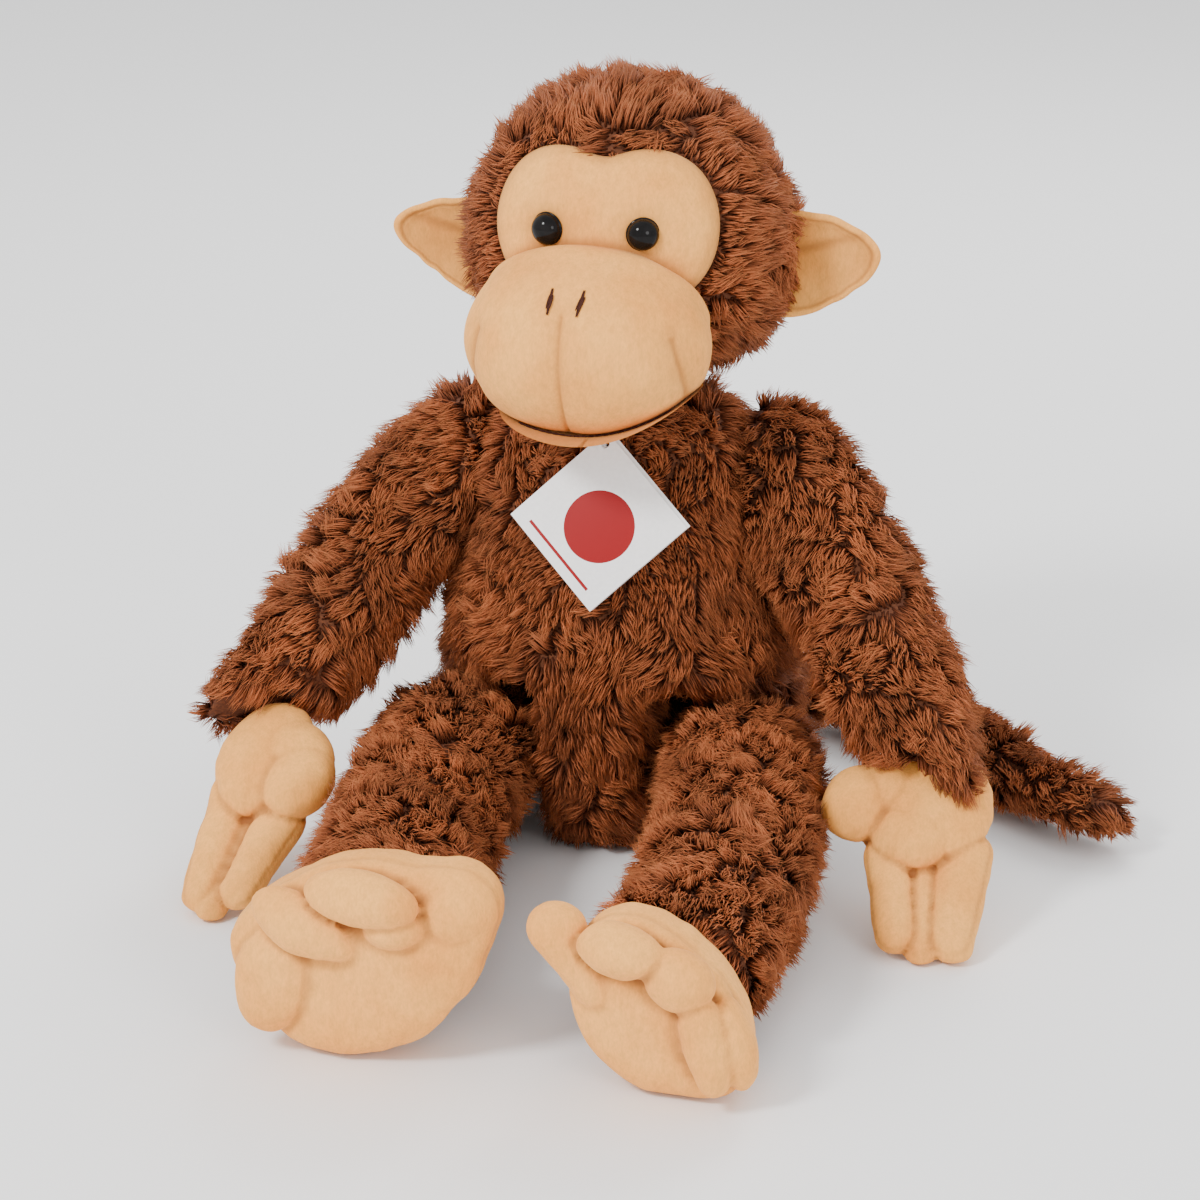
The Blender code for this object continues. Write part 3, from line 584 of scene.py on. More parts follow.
lock_size = node(tree, "ShaderNodeCombineXYZ", {0: across, 1: given["Width"], 2: span}).outputs["Vector"]
shared_tone = number(tree, "MULTIPLY", sampled(tree, tufts, tuft_tone, nearest, "FLOAT"), 0.6)
lock_tone = number(tree, "ADD", shared_tone, random_between(tree, 0.0, 0.4, 24))
roots = node(tree, "GeometryNodeStoreNamedAttribute", {"Geometry": roots, "Name": "tone", "Value": lock_tone},
             data_type="FLOAT", domain="POINT").outputs["Geometry"]
locks = node(tree, "GeometryNodeInstanceOnPoints", {"Points": roots, "Instance": lock, "Rotation": aimed,
                                                    "Scale": lock_size}).outputs["Instances"]
end_tree(tree, locks, pile_finish)
print("the pile tree has", len(tree.nodes), "nodes")


# %% [markdown]
# ## Where the pile grows and which way it lies
# Pile is brushed away from the face on the head, down the torso, along the limbs and along the tail. It is
# shorn off where two forms press together, because it would only poke through, and it is short by the
# floor, where the toy sits on it. Each form's pile is cut into panels, as the cloth is, so that no mesh is
# too heavy.

# %% Where the head, the face and the muzzle are
def bell(distance, width):
    return np.exp(-(distance / width) ** 2)


def bell_round(points, spot, width):
    """1 at a spot, fading away from it over about the width."""
    return bell(np.linalg.norm(points - np.array(spot), axis=1), width)


def middle_and_radii(*names):
    """The middle and the half size of the box round several of the frame's nodes."""
    boxes = [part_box(name) for name in names]
    lo = Vector([min(box[0][axis] for box in boxes) for axis in range(3)])
    hi = Vector([max(box[1][axis] for box in boxes) for axis in range(3)])
    return (lo + hi) / 2, (hi - lo) / 2


head_middle, head_radii = middle_and_radii("head_fur_left", "head_fur_right", "face_mask")
muzzle_middle, muzzle_radii = middle_and_radii("muzzle_left", "muzzle_right", "lower_lip")
MUZZLE_DEPTH = 33 * MM
MUZZLE_WIDER = 1.2 * MM
muzzle_middle.x -= MUZZLE_WIDER
muzzle_radii.x += MUZZLE_WIDER
muzzle_middle.y += MUZZLE_DEPTH - muzzle_radii.y
muzzle_radii.y = MUZZLE_DEPTH
FACE_MIDDLE = Vector((head_middle.x, 0, head_middle.z + 4 * MM))
FACE_EDGE = ((0.0, 28.0), (7.0, 30.5), (15.5, 32.0), (27.0, 29.5), (36.0, 22.0), (41.0, 10.0), (41.5, 1.0),
             (39.5, -8.0), (34.5, -16.0), (25.0, -23.0), (12.0, -28.0), (0.0, -29.0))
FACE_ANGLES = np.array([math.atan2(x, z) for x, z in FACE_EDGE])
FACE_REACHES = np.array([math.hypot(x, z) * MM for x, z in FACE_EDGE])
print("head:", [round(c, 4) for c in (*head_middle, *head_radii)])
print("muzzle:", [round(c, 4) for c in (*muzzle_middle, *muzzle_radii)])


def face_outline(angle):
    """The face mask's edge: how far it is from the mask's middle, by the angle from straight up."""
    return np.interp(np.abs(angle), FACE_ANGLES, FACE_REACHES)


def face_share(points):
    """0 in the middle of the face, 1 on its edge, and more beyond it. Far from the face it is 9."""
    x = points[:, 0] - FACE_MIDDLE.x
    z = points[:, 2] - FACE_MIDDLE.z
    share = np.hypot(x, z) / face_outline(np.arctan2(x, z))
    return np.where(points[:, 1] < head_middle.y - 15 * MM, share, 9.0)


def ball_share(points, middle, radii):
    """How far out each point is from an egg's middle: 1 on its skin."""
    return np.linalg.norm((points - np.array(middle)) / np.array(radii), axis=1)


# %% Under the face the head is drawn flat, so that nothing pokes through the mask
FACE_BED = 4.0 * MM
BED_SHARE = 1.08
JOWL = 7 * MM
JOWL_WIDTH = 26 * MM
points = points_of(forms["head_form"].data)
share = ball_share(points, head_middle, head_radii - Vector((FACE_BED,) * 3))
under_face = (face_share(points) < BED_SHARE) & (share > 1)
flat = np.array(head_middle) + (points - np.array(head_middle)) / share[:, None]
points = np.where(under_face[:, None], flat, points)
for sign in SIDES.values():
    jowl = np.array(head_middle) + np.array([sign * 42, 6, -32]) * MM
    swell = JOWL * bell_round(points, jowl, JOWL_WIDTH)
    points = points + normals_of(forms["head_form"].data) * (swell * ~under_face)[:, None]
set_points(forms["head_form"].data, points)
print("points drawn in under the face:", int(under_face.sum()))


# %% Shoulders pressed against the body
SHOULDER_GAP = 4 * MM
SHOULDER_SWELL = 12 * MM
SHOULDER_REACH = 42 * MM
SHOULDER_LOW = 100 * MM
SHOULDER_HIGH = 125 * MM
FACING_GAIN = 1.6              # a surface that looks less straight at its neighbour still swells in full


def swells_toward(name, other):
    """How far each point of a form swells to meet another form, as stuffed parts do where they press."""
    tree = BVHTree.FromObject(forms[other], bpy.context.evaluated_depsgraph_get())
    points, normals = points_of(forms[name].data), normals_of(forms[name].data)
    push = np.zeros(len(points))
    for i, p in enumerate(points):
        if p[2] < SHOULDER_LOW:
            continue
        spot, _, _, distance = tree.find_nearest(Vector(p), SHOULDER_REACH)
        if spot is None or distance < SHOULDER_GAP:
            continue
        facing = (spot - Vector(p)).normalized().dot(Vector(normals[i]))
        near = 1 - distance / SHOULDER_REACH
        high = min(1.0, (p[2] - SHOULDER_LOW) / (SHOULDER_HIGH - SHOULDER_LOW))
        swell = min((distance - SHOULDER_GAP) / 2, SHOULDER_SWELL)
        push[i] = swell * min(1.0, max(0.0, facing * FACING_GAIN)) * high * near ** 0.5
    return push


for side in SIDES:
    arm = f"arm_{side}_form"
    swells = {arm: swells_toward(arm, "torso_form"), "torso_form": swells_toward("torso_form", arm)}
    for name, push in swells.items():
        skin = forms[name].data
        set_points(skin, points_of(skin) + normals_of(skin) * push[:, None])
        print(f"{name} swells by up to", round(float(push.max()) * 1000, 1), "mm")

# %% A fuller tip for the tail
TAIL_SWELL = 4 * MM
TAIL_SWELL_FROM = 60 * MM
TAIL_SWELL_RUN = 60 * MM
skin = forms["tail_form"].data
points, normals = points_of(skin), normals_of(skin)
outer = np.clip((points[:, 0] - TAIL_SWELL_FROM) / TAIL_SWELL_RUN, 0, 1)
off_floor = normals[:, 2] > -0.3
set_points(skin, points + normals * (TAIL_SWELL * outer * off_floor)[:, None])
print("the tail's tip swells by", round(TAIL_SWELL * 1000, 1), "mm at", int((outer > 0).sum()), "points")


# %% Shorn spots and brushing directions
PRESS = 3.5 * MM               # closer to a neighbour than this, the cloth carries no pile
PRESS_SEARCH = 30 * MM


def near_others(name, points):
    """True where a point lies inside or close against another form."""
    pressed = np.zeros(len(points), bool)
    graph = bpy.context.evaluated_depsgraph_get()
    for other, ob in forms.items():
        if other == name:
            continue
        tree = BVHTree.FromObject(ob, graph)
        for i, p in enumerate(points):
            spot, normal, _, distance = tree.find_nearest(Vector(p), PRESS_SEARCH)
            if spot is None:
                continue
            inside = (Vector(p) - spot).dot(normal) < 0
            pressed[i] |= inside or distance < PRESS
    return pressed


def brushed(name, points):
    """The way the pile is brushed at each point."""
    lay = np.zeros_like(points)
    if name == "head_form":
        front = np.array([head_middle.x, head_middle.y - head_radii.y, head_middle.z + 10 * MM])
        lay = points - front
        lay /= np.linalg.norm(lay, axis=1, keepdims=True)
        lay[:, 2] -= 0.35
        cleft = np.hypot(points[:, 0] - FACE_MIDDLE.x, points[:, 2] - FACE_MIDDLE.z - 33 * MM)
        lay[:, 2] -= 2.5 * bell(cleft, 7 * MM) * (points[:, 1] < head_middle.y)
    elif name == "torso_form":
        lay[:] = (0, 0, -1)
        lay[:, :2] = points[:, :2] * 6
    elif name == "tail_form":
        lay[:, 0] = 1.0
        lay[:, 1] = (0.02 - points[:, 0]) / 0.12
    elif name.startswith("arm"):
        side = name.split("_")[1]
        lay[:] = (SIDES[side] * 0.45, -0.6, -0.65)
    else:
        lay[:] = (0, -1, -0.1)
    return lay


PANELS = {                     # piece: its form, its body, the node it stands for, and which points it has
    "head_pile_left": ("head_form", "head", "head_fur_left", lambda p: p[:, 0] >= head_middle.x),
    "head_pile_right": ("head_form", "head", "head_fur_right", lambda p: p[:, 0] < head_middle.x),
}
for side, sign in SIDES.items():
    for face, front in (("front", True), ("back", False)):
        PANELS[f"torso_pile_{face}_{side}"] = (
            "torso_form", "torso", f"torso_fur_{side}",
            lambda p, sign=sign, front=front: ((p[:, 0] * sign >= 0) & ((p[:, 1] < -0.01) == front)))
    for limb in ("arm", "leg"):
        form = f"{limb}_{side}_form"
        middle = float(points_of(forms[form].data)[:, 0].mean())
        for face, outer in (("outer", 1), ("inner", -1)):
            PANELS[f"{limb}_{side}_pile_{face}"] = (
                form, f"{limb}_{side}", f"{limb}_{side}_fur_{face}",
                lambda p, m=middle, s=sign * outer: (p[:, 0] - m) * s >= 0)
tail_middle = float(points_of(forms["tail_form"].data)[:, 2].mean())
PANELS["tail_pile_upper"] = ("tail_form", "tail", "tail_fur_upper", lambda p: p[:, 2] >= tail_middle)
PANELS["tail_pile_lower"] = ("tail_form", "tail", "tail_fur_lower", lambda p: p[:, 2] < tail_middle)
print(len(PANELS), "panels of pile")


# %% How near a sleeve's open end is
def end_share(name, points):
    """How near a point is to a sleeve's or trouser leg's open end: 0 far away, 1 on the flat end."""
    kind, side = name.split("_")[:2]
    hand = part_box(f"hand_{side}_palm") if kind == "arm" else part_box(f"foot_{side}_upper")
    target = (hand[0] + hand[1]) / 2
    flat = normals_of(forms[name].data)
    toward = np.array(target) - points
    toward /= np.linalg.norm(toward, axis=1, keepdims=True)
    return np.clip((flat * toward).sum(1), 0, 1)


# %% Sleeves drawn down over the hands
HEM = 9.0 * MM
HEM_OUTER = 13.0 * MM
HEM_SPREAD = 8.0 * MM
HEM_END = 0.9
HEM_DEPTH = 34 * MM
HEM_INNER = -0.25              # how much of the outer side's extra length the inner side loses
HEM_FADE = 12 * MM
SLEEVE_RADIUS = 30 * MM
SLEEVE_HALF = 24 * MM
for side, sign in SIDES.items():
    name = f"arm_{side}_form"
    skin = forms[name].data
    points = points_of(skin)
    end = points[end_share(name, points) > HEM_END].mean(axis=0)
    lo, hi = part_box(f"hand_{side}_palm")
    way = np.array((lo + hi) / 2) - end
    way /= np.linalg.norm(way)
    near = np.clip(1 + (points - end) @ way / HEM_DEPTH, 0, 1) ** 2
    past_rim = np.maximum(0, np.linalg.norm(points - end, axis=1) - SLEEVE_RADIUS)
    near *= bell(past_rim, HEM_FADE)
    outer = np.clip((points[:, 0] - end[0]) * sign / SLEEVE_HALF, HEM_INNER, 1)
    points = points + way * (near * (HEM + HEM_OUTER * outer))[:, None]
    points[:, 0] += sign * HEM_SPREAD * near
    set_points(skin, points)
    print(f"{name}: hem at", end.round(3))

# %% Where the pile stands, and how long it is
FACE_FUR = 0.97                # the share of the face's outline where the head's pile starts
MUZZLE_FUR = 1.04              # and of the muzzle's egg
FACE_FUR_SHORT, FACE_FUR_LONG = 0.45, 0.92
UNDER_TAG = 0.6
OPEN_END = 0.93                # how squarely a spot on the sleeve's flat end faces the hand or foot
SLEEVE_FUR_LONGER = 0.25
LOW = 9 * MM                   # under this height the pile is shorter, by the floor

tag_lo, tag_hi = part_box("tag_back_leaf")
for name, ob in forms.items():
    points = points_of(ob.data)
    pile = 1.0 - near_others(name, points)
    reach = np.ones(len(points))
    if name == "head_form":
        share = face_share(points)
        pile[share < FACE_FUR] = 0.0
        pile[ball_share(points, muzzle_middle, muzzle_radii) < MUZZLE_FUR] = 0.0
        reach = np.clip(FACE_FUR_SHORT + (share - FACE_FUR) * 3.0, FACE_FUR_SHORT, FACE_FUR_LONG)
    if name == "torso_form":
        beside = np.maximum(tag_lo.x - points[:, 0], points[:, 0] - tag_hi.x)
        below = np.maximum(tag_lo.z - points[:, 2], points[:, 2] - tag_hi.z)
        under_tag = (np.maximum(beside, below) < 2 * MM) & (points[:, 1] < -20 * MM)
        reach[under_tag] = UNDER_TAG
    if name.startswith(("arm", "leg")):
        end = end_share(name, points)
        pile[end > OPEN_END] = 0.0
        if name.startswith("arm"):
            reach = reach * (1 + SLEEVE_FUR_LONGER * np.clip((end - 0.4) / 0.4, 0, 1))
    set_attribute(ob.data, "pile", pile)
    set_attribute(ob.data, "pile_length", reach * np.clip(points[:, 2] / LOW, 0.25, 1.0))
    set_attribute(ob.data, "lay", brushed(name, points), "FLOAT_VECTOR")
    print(f"{name}: pile on {float(pile.mean()):.0%} of its points")


# %% Grow the pile
FLOOR_CRUSH = 1.2 * MM
CRUSH_FADE = 6 * MM


def atlas(mesh, lock_points):
    """Gives each lock its own cell in a UV map, so that its colour can be painted from root to tip."""
    count = len(mesh.vertices) // lock_points
    across = math.ceil(math.sqrt(max(count, 1)))
    corners = np.empty(len(mesh.loops), np.int32)
    mesh.loops.foreach_get("vertex_index", corners)
    along = read_attribute(mesh, "along")[corners]
    lock = corners // lock_points
    turn = corners % lock_points % 3
    uv = np.empty((len(corners), 2), np.float32)
    uv[:, 0] = (lock % across + 0.2 + 0.3 * turn) / across
    uv[:, 1] = (lock // across + 0.15 + 0.7 * along) / across
    layer = mesh.uv_layers.new(name="OFBake")
    layer.data.foreach_set("uv", uv.ravel())


def above_floor(mesh):
    """Presses whatever hangs below the seat flat against the floor."""
    points = points_of(mesh)
    sunk = points[:, 2] < FLOOR_CRUSH
    points[sunk, 2] = FLOOR_CRUSH * np.exp((points[sunk, 2] - FLOOR_CRUSH) / CRUSH_FADE)
    set_points(mesh, points)


LAYERS = {                     # layer: how many points one lock has, and its sizes
    "pile": (7, {"Segments": 2}),
    "underpile": (4, {"Segments": 1, "Density": 800000.0, "Width": 0.001, "Length": 0.0100}),
}
total = 0
for seed, (name, (form, body, cad_node, chosen)) in enumerate(PANELS.items(), start=1):
    skin = forms[form].data.copy()
    keep = chosen(points_of(skin)).astype(float)
    set_attribute(skin, "pile", keep * read_attribute(skin, "pile"))
    for layer, (lock_points, sizes) in LAYERS.items():
        pile = grown(name, skin, pile_tree, Seed=seed, **sizes)
        above_floor(pile)
        atlas(pile, lock_points)
        piece = link(name.replace("pile", layer), pile)
        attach(piece, body)
        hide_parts(cad_node)
        total += len(pile.vertices) // lock_points
print("locks in all:", total)

for name, (body, nodes) in FORMS.items():
    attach(forms[name], body)
    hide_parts(*[n for n in nodes if n.endswith("stuffing")])


# %% [markdown]
# ## Plush pieces
# Face, muzzle, ears, hands and feet are short plush. Each begins as a fine closed ball with even faces and
# no poles, because a pole would pinch where the light falls on it, and is then shaped by plain formulas: an
# egg for the muzzle, a leaf for an ear. Seams are pressed in as narrow grooves along a line, and a groove
# is also remembered as an attribute, so that the finish can paint shade into it.

# %% A ball with even faces
def even_ball(cuts):
    """The directions and the mesh of a cube whose faces are blown out to a sphere."""
    bm = bmesh.new()
    bmesh.ops.create_cube(bm, size=2.0)
    bmesh.ops.subdivide_edges(bm, edges=bm.edges, cuts=cuts, use_grid_fill=True)
    mesh = bpy.data.meshes.new("even_ball")
    bm.to_mesh(mesh)
    bm.free()
    cube = points_of(mesh)
    even = np.tan(cube * math.pi / 4)
    directions = even / np.linalg.norm(even, axis=1, keepdims=True)
    set_points(mesh, directions)
    return mesh, directions


def distance_to_line(points, line):
    """How far each point is from a line through the given spots."""
    nearest = np.full(len(points), 1e9)
    for a, b in zip(line, line[1:]):
        a, b = np.array(a, float), np.array(b, float)
        step = b - a
        t = np.clip(((points - a) @ step) / (step @ step), 0, 1)
        nearest = np.minimum(nearest, np.linalg.norm(points - a - t[:, None] * step, axis=1))
    return nearest


HOLLOW_GAIN = 9.0
HOLLOW_BLUR = 2


def hollows(mesh):
    """How deep in a crease each point lies, from 0 to 1, by its height under its neighbours."""
    points, normals = points_of(mesh), normals_of(mesh)
    ends = np.empty(len(mesh.edges) * 2, np.int32)
    mesh.edges.foreach_get("vertices", ends)
    ends = ends.reshape(-1, 2)
    count = np.bincount(ends.ravel(), minlength=len(points))

    def mean_of_neighbours(values):
        total = np.zeros_like(values)
        np.add.at(total, ends[:, 0], values[ends[:, 1]])
        np.add.at(total, ends[:, 1], values[ends[:, 0]])
        return (total.T / count).T

    edge = np.linalg.norm(points[ends[:, 0]] - points[ends[:, 1]], axis=1).mean()
    depth = ((mean_of_neighbours(points) - points) * normals).sum(1) / edge * HOLLOW_GAIN
    for _ in range(HOLLOW_BLUR):
        depth = mean_of_neighbours(depth)
    return np.clip(depth, 0, 1)


def plush_piece(name, mesh, body, nodes, crease_shade):
    """Finishes a stuffed plush piece: painted crease shade, nap, body and the frame's nodes it stands for."""
    mesh.shade_smooth()
    set_attribute(mesh, "crease_shade", crease_shade)
    mesh.materials.clear()
    mesh.materials.append(plush_finish)
    piece = link(name, mesh)
    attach(piece, body)
    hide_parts(*nodes)
    print(f"{name}: {len(mesh.polygons)} faces")


# %% [markdown]
# ## The face
# The mask is one flat panel of plush sewn over the front of the head, with two lobes over the brows. The
# eyes' shanks pull it in round them. Here it is a fan of rings from its middle to its edge, laid on the
# head's round front, with the rim turned under so that it meets the pile.

# %% The face mask
FACE_RINGS = 44
FACE_SPOKES = 144
FACE_PROUD = 0.8 * MM
FACE_THICK = 1.8 * MM
EYE_SPREAD = 17.5 * MM
EYE_SHIFT = -1.2 * MM
EYE_RISE = 7.8 * MM
EYE_RADIUS = 6.2 * MM
EYE_TURN = math.radians(17)
FACE_DENTS = (                 # by each eye, in millimetres: how deep, how wide, and how far outwards and up
    (1.9, 8.5, 0, 0),          # the eye's socket
    (-1.3, 11, 2, 14),         # the brow, which swells
    (-0.8, 9, 13, -4),         # the cheek's top, which swells too
)


def head_front(x, z, grow=0.0):
    """The y of the head's front at a place on it, with its radii grown."""
    u = (x - head_middle.x) / (head_radii.x + grow)
    w = (z - head_middle.z) / (head_radii.z + grow)
    return head_middle.y - (head_radii.y + grow) * np.sqrt(np.clip(1 - u * u - w * w, 0.02, 1))


def eye_place(sign):
    x = head_middle.x + EYE_SHIFT + sign * EYE_SPREAD
    z = head_middle.z + EYE_RISE
    return np.array([x, float(head_front(x, z)), z])


def build_face():
    shares = np.linspace(0, 1, FACE_RINGS + 1)[1:]
    angles = np.linspace(-math.pi, math.pi, FACE_SPOKES, endpoint=False)
    reach = np.convolve(np.tile(face_outline(angles), 3), np.ones(7) / 7, "same")[FACE_SPOKES:2 * FACE_SPOKES]
    x = FACE_MIDDLE.x + np.outer(shares, reach * np.sin(angles)).ravel()
    z = FACE_MIDDLE.z + np.outer(shares, reach * np.cos(angles)).ravel()
    share = np.repeat(shares, FACE_SPOKES)
    x, z = np.append(x, FACE_MIDDLE.x), np.append(z, FACE_MIDDLE.z)
    share = np.append(share, 0.0)
    y = head_front(x, z, FACE_PROUD)
    sink = 2.6 * MM * np.clip((share - 0.9) / 0.1, 0, 1) ** 2
    for sign in SIDES.values():
        eye = eye_place(sign)
        for deep, wide, out, up in FACE_DENTS:
            away = np.hypot(x - eye[0] - sign * out * MM, z - eye[2] - up * MM)
            sink += deep * MM * bell(away, wide * MM)
    high = np.clip((z - head_middle.z) / (30 * MM), 0, 1)
    sink += 0.8 * MM * bell(np.abs(x - head_middle.x), 5 * MM) * high
    points = np.column_stack([x, y + sink, z])
    points[:, 1] += lumps(points, 90.0, 0.35 * MM, 5)
    faces = []
    last = len(points) - 1
    for k in range(FACE_SPOKES):
        after = (k + 1) % FACE_SPOKES
        faces.append((last, k, after))
        for ring in range(FACE_RINGS - 1):
            a, b = ring * FACE_SPOKES, (ring + 1) * FACE_SPOKES
            faces.append((a + k, b + k, b + after, a + after))
    mesh = bpy.data.meshes.new("face")
    mesh.from_pydata(points.tolist(), [], faces)
    mesh.update()
    if mesh.polygons[0].normal.y > 0:
        mesh.flip_normals()
    ob = link("face_sheet", mesh)
    thick = ob.modifiers.new("thick", "SOLIDIFY")
    thick.thickness = FACE_THICK
    thick.offset = -1
    made = applied(ob)
    placed = points_of(made)
    # painted shade: darker at the rim, where it turns under, round the eyes' sockets, and where the muzzle
    # meets the face
    rim = np.clip((face_share(placed) - 0.88) / 0.12, 0, 1) * 0.35
    eyes = [eye_place(sign) for sign in SIDES.values()]
    round_eyes = 0.5 * sum(bell(np.hypot(placed[:, 0] - e[0], placed[:, 2] - e[2]), 7.5 * MM) for e in eyes)
    by_muzzle = 0.6 * bell(ball_share(placed, muzzle_middle, muzzle_radii) - 1.0, 0.07)
    plush_piece("face_plush", made, "head", ["face_mask"], np.clip(rim + round_eyes + by_muzzle, 0, 1))


build_face()


# %% [markdown]
# ## Muzzle and lip
# The muzzle is an egg of two plush halves, sewn down the middle under the nose, with a small dart near each
# corner of the mouth. It is shut off below by the mouth's line, and a narrow lip of plush closes it from
# under. Both come from the same ball: the upper piece has everything below the mouth's line lifted up to
# it, and the lip has everything above the line pushed down to it, so that a true gap stays between them for
# the stitches.

# %% The mouth's line
MOUTH_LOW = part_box("lower_lip")[1].z - 1.4 * MM
MOUTH_CURVE = 8.6
MOUTH_CURVE_RIGHT = 5.0
MOUTH_MIDDLE = muzzle_middle.x - 1 * MM


def mouth_height(x):
    """The mouth's line: lowest in the middle, and rising to both corners like a smile."""
    return MOUTH_LOW + np.where(x > MOUTH_MIDDLE, MOUTH_CURVE, MOUTH_CURVE_RIGHT) * (x - MOUTH_MIDDLE) ** 2


def on_muzzle(x, z, grow=0.0):
    """The spot on the muzzle's front at x and z, with its radii grown."""
    u = (x - muzzle_middle.x) / (muzzle_radii.x + grow)
    w = (z - muzzle_middle.z) / (muzzle_radii.z + grow)
    out = math.sqrt(max(0.03, 1 - u * u - w * w))
    return (x, muzzle_middle.y - (muzzle_radii.y + grow) * out, z)


# %% The two halves, their seam and darts
NOSE_TOP = muzzle_middle.z + 19 * MM
SEAM_X = muzzle_middle.x - 2.5 * MM
DART = ((36.0, 8.0), (38.0, 0.0), (39.3, -7.0), (39.5, -14.0))
SEAM_GROOVES = ((1.15, 0.75), (0.8, 5.0))              # in millimetres: how deep and how wide
# the shade painted into the grooves of the seam and of the darts
SEAM_SHADE = ((0.42, 0.75), (0.10, 4.0))               # how dark, and how wide in millimetres
DART_GROOVES = ((0.8, 1.1), (0.9, 5.0))
DART_SHADE = ((0.4, 1.3), (0.15, 4.5))


def grooves(distance, profile):
    """A narrow groove inside a wide one, by the distance from a seam."""
    return sum(deep * bell(distance, wide * MM) for deep, wide in profile)


def build_muzzle():
    mesh, directions = even_ball(62)
    middle, radii = np.array(muzzle_middle), np.array(muzzle_radii)
    points = middle + directions * radii
    normal = directions / radii
    normal /= np.linalg.norm(normal, axis=1, keepdims=True)
    seam = [on_muzzle(SEAM_X, z) for z in np.linspace(NOSE_TOP - 2 * MM, MOUTH_LOW, 14)]
    from_seam = distance_to_line(points, seam)
    push = -MM * grooves(from_seam, SEAM_GROOVES)
    # painted shade in the seam's groove, and below in each dart's
    crease_shade = grooves(from_seam, SEAM_SHADE)
    for sign in (-1, 1):
        dart = [on_muzzle(muzzle_middle.x + sign * x * MM, muzzle_middle.z + z * MM) for x, z in DART]
        from_dart = distance_to_line(points, dart)
        push -= MM * grooves(from_dart, DART_GROOVES)
        crease_shade = crease_shade + grooves(from_dart, DART_SHADE)
        cheek = on_muzzle(muzzle_middle.x + sign * 24 * MM, muzzle_middle.z - 8 * MM)
        push += 1.2 * MM * bell_round(points, cheek, 17 * MM)
    nose = on_muzzle(muzzle_middle.x - 1 * MM, NOSE_TOP + 3 * MM)
    push -= 0.7 * MM * bell_round(points, nose, 6 * MM)
    ahead = head_front(points[:, 0], points[:, 2], FACE_PROUD) - points[:, 1]
    above = np.clip((points[:, 2] - muzzle_middle.z) / (10 * MM), 0, 1)
    push += 1.6 * MM * bell(ahead - 7 * MM, 5 * MM) * above
    # painted shade in the contact line where the muzzle's top meets the face
    crease_shade = crease_shade + 0.4 * bell(ahead, 2.0 * MM) * above
    points = points + normal * (push + lumps(points, 60.0, 0.5 * MM, 9))[:, None]
    line = mouth_height(points[:, 0])
    soft = 0.9 * MM
    lifted = line + soft * np.logaddexp(0, (points[:, 2] - line) / soft)
    # painted shade along the mouth's line, and on all that is lifted up into it
    crease_shade = crease_shade + 0.5 * bell(points[:, 2] - line, 1.6 * MM) + np.where(points[:, 2] < line, 0.5, 0)
    points[:, 2] = lifted
    set_points(mesh, points)
    plush_piece("muzzle_plush", mesh, "head", ["muzzle_left", "muzzle_right", "muzzle_stuffing"],
                np.clip(crease_shade, 0, 1))


LIP_SMALLER = (8.0, 1.8, 6.5)
LIP_ASIDE = 5.0 * MM
LIP_GAP = 0.7 * MM


def build_lip():
    mesh, directions = even_ball(32)
    points = np.array(muzzle_middle) + directions * (np.array(muzzle_radii) - np.array(LIP_SMALLER) * MM)
    points[:, 0] += LIP_ASIDE
    line = mouth_height(points[:, 0]) - LIP_GAP
    soft = 0.8 * MM
    points[:, 2] = line - soft * np.logaddexp(0, (line - points[:, 2]) / soft)
    # painted shade along the lip's top, in the gap under the mouth's line
    crease_shade = 0.45 * bell(points[:, 2] - line, 0.9 * MM)
    set_points(mesh, points)
    plush_piece("lower_lip_plush", mesh, "head", ["lower_lip"], crease_shade)


build_muzzle()
build_lip()


# %% [markdown]
# ## Stitches
# The mouth and the nostrils are embroidered: short straight stitches of brown thread, end to end along the
# mouth and side by side in each nostril. A stitch is one small swollen bar, so a tree lays one bar along
# every edge of a wire mesh, and the wire is all that changes from the mouth to the nostrils.

# %% A bar of thread on every edge of a wire
STITCH_SIZES = {"Thickness": 0.0011, "Overlap": 1.25}

stitch_tree, given = new_tree("stitches", STITCH_SIZES)
tree = stitch_tree
bar = node(tree, "GeometryNodeMeshUVSphere", {"Segments": 8, "Rings": 7, "Radius": 0.5}).outputs["Mesh"]
ends = node(tree, "GeometryNodeInputMeshEdgeVertices").outputs
run = vector(tree, "SUBTRACT", ends["Position 2"], ends["Position 1"])
kept_run = {"Geometry": given["Geometry"], "Name": "run", "Value": run}
wire = node(tree, "GeometryNodeStoreNamedAttribute", kept_run, data_type="FLOAT_VECTOR", domain="EDGE")
wire = wire.outputs["Geometry"]
middles = node(tree, "GeometryNodeMeshToPoints", {"Mesh": wire}, mode="EDGES").outputs["Points"]
run = attribute(tree, "run", "FLOAT_VECTOR")
length = node(tree, "ShaderNodeVectorMath", {0: run}, operation="LENGTH").outputs["Value"]
turn = node(tree, "FunctionNodeAlignRotationToVector", {"Vector": run}, axis="Z").outputs["Rotation"]
laid_length = number(tree, "MULTIPLY", length, given["Overlap"])
thickness = given["Thickness"]
size = node(tree, "ShaderNodeCombineXYZ", {0: thickness, 1: thickness, 2: laid_length}).outputs["Vector"]
bars = node(tree, "GeometryNodeInstanceOnPoints", {
    "Points": middles, "Instance": bar, "Rotation": turn, "Scale": size,
}).outputs["Instances"]
end_tree(tree, bars, thread_finish)


THREAD = 0.8 * MM


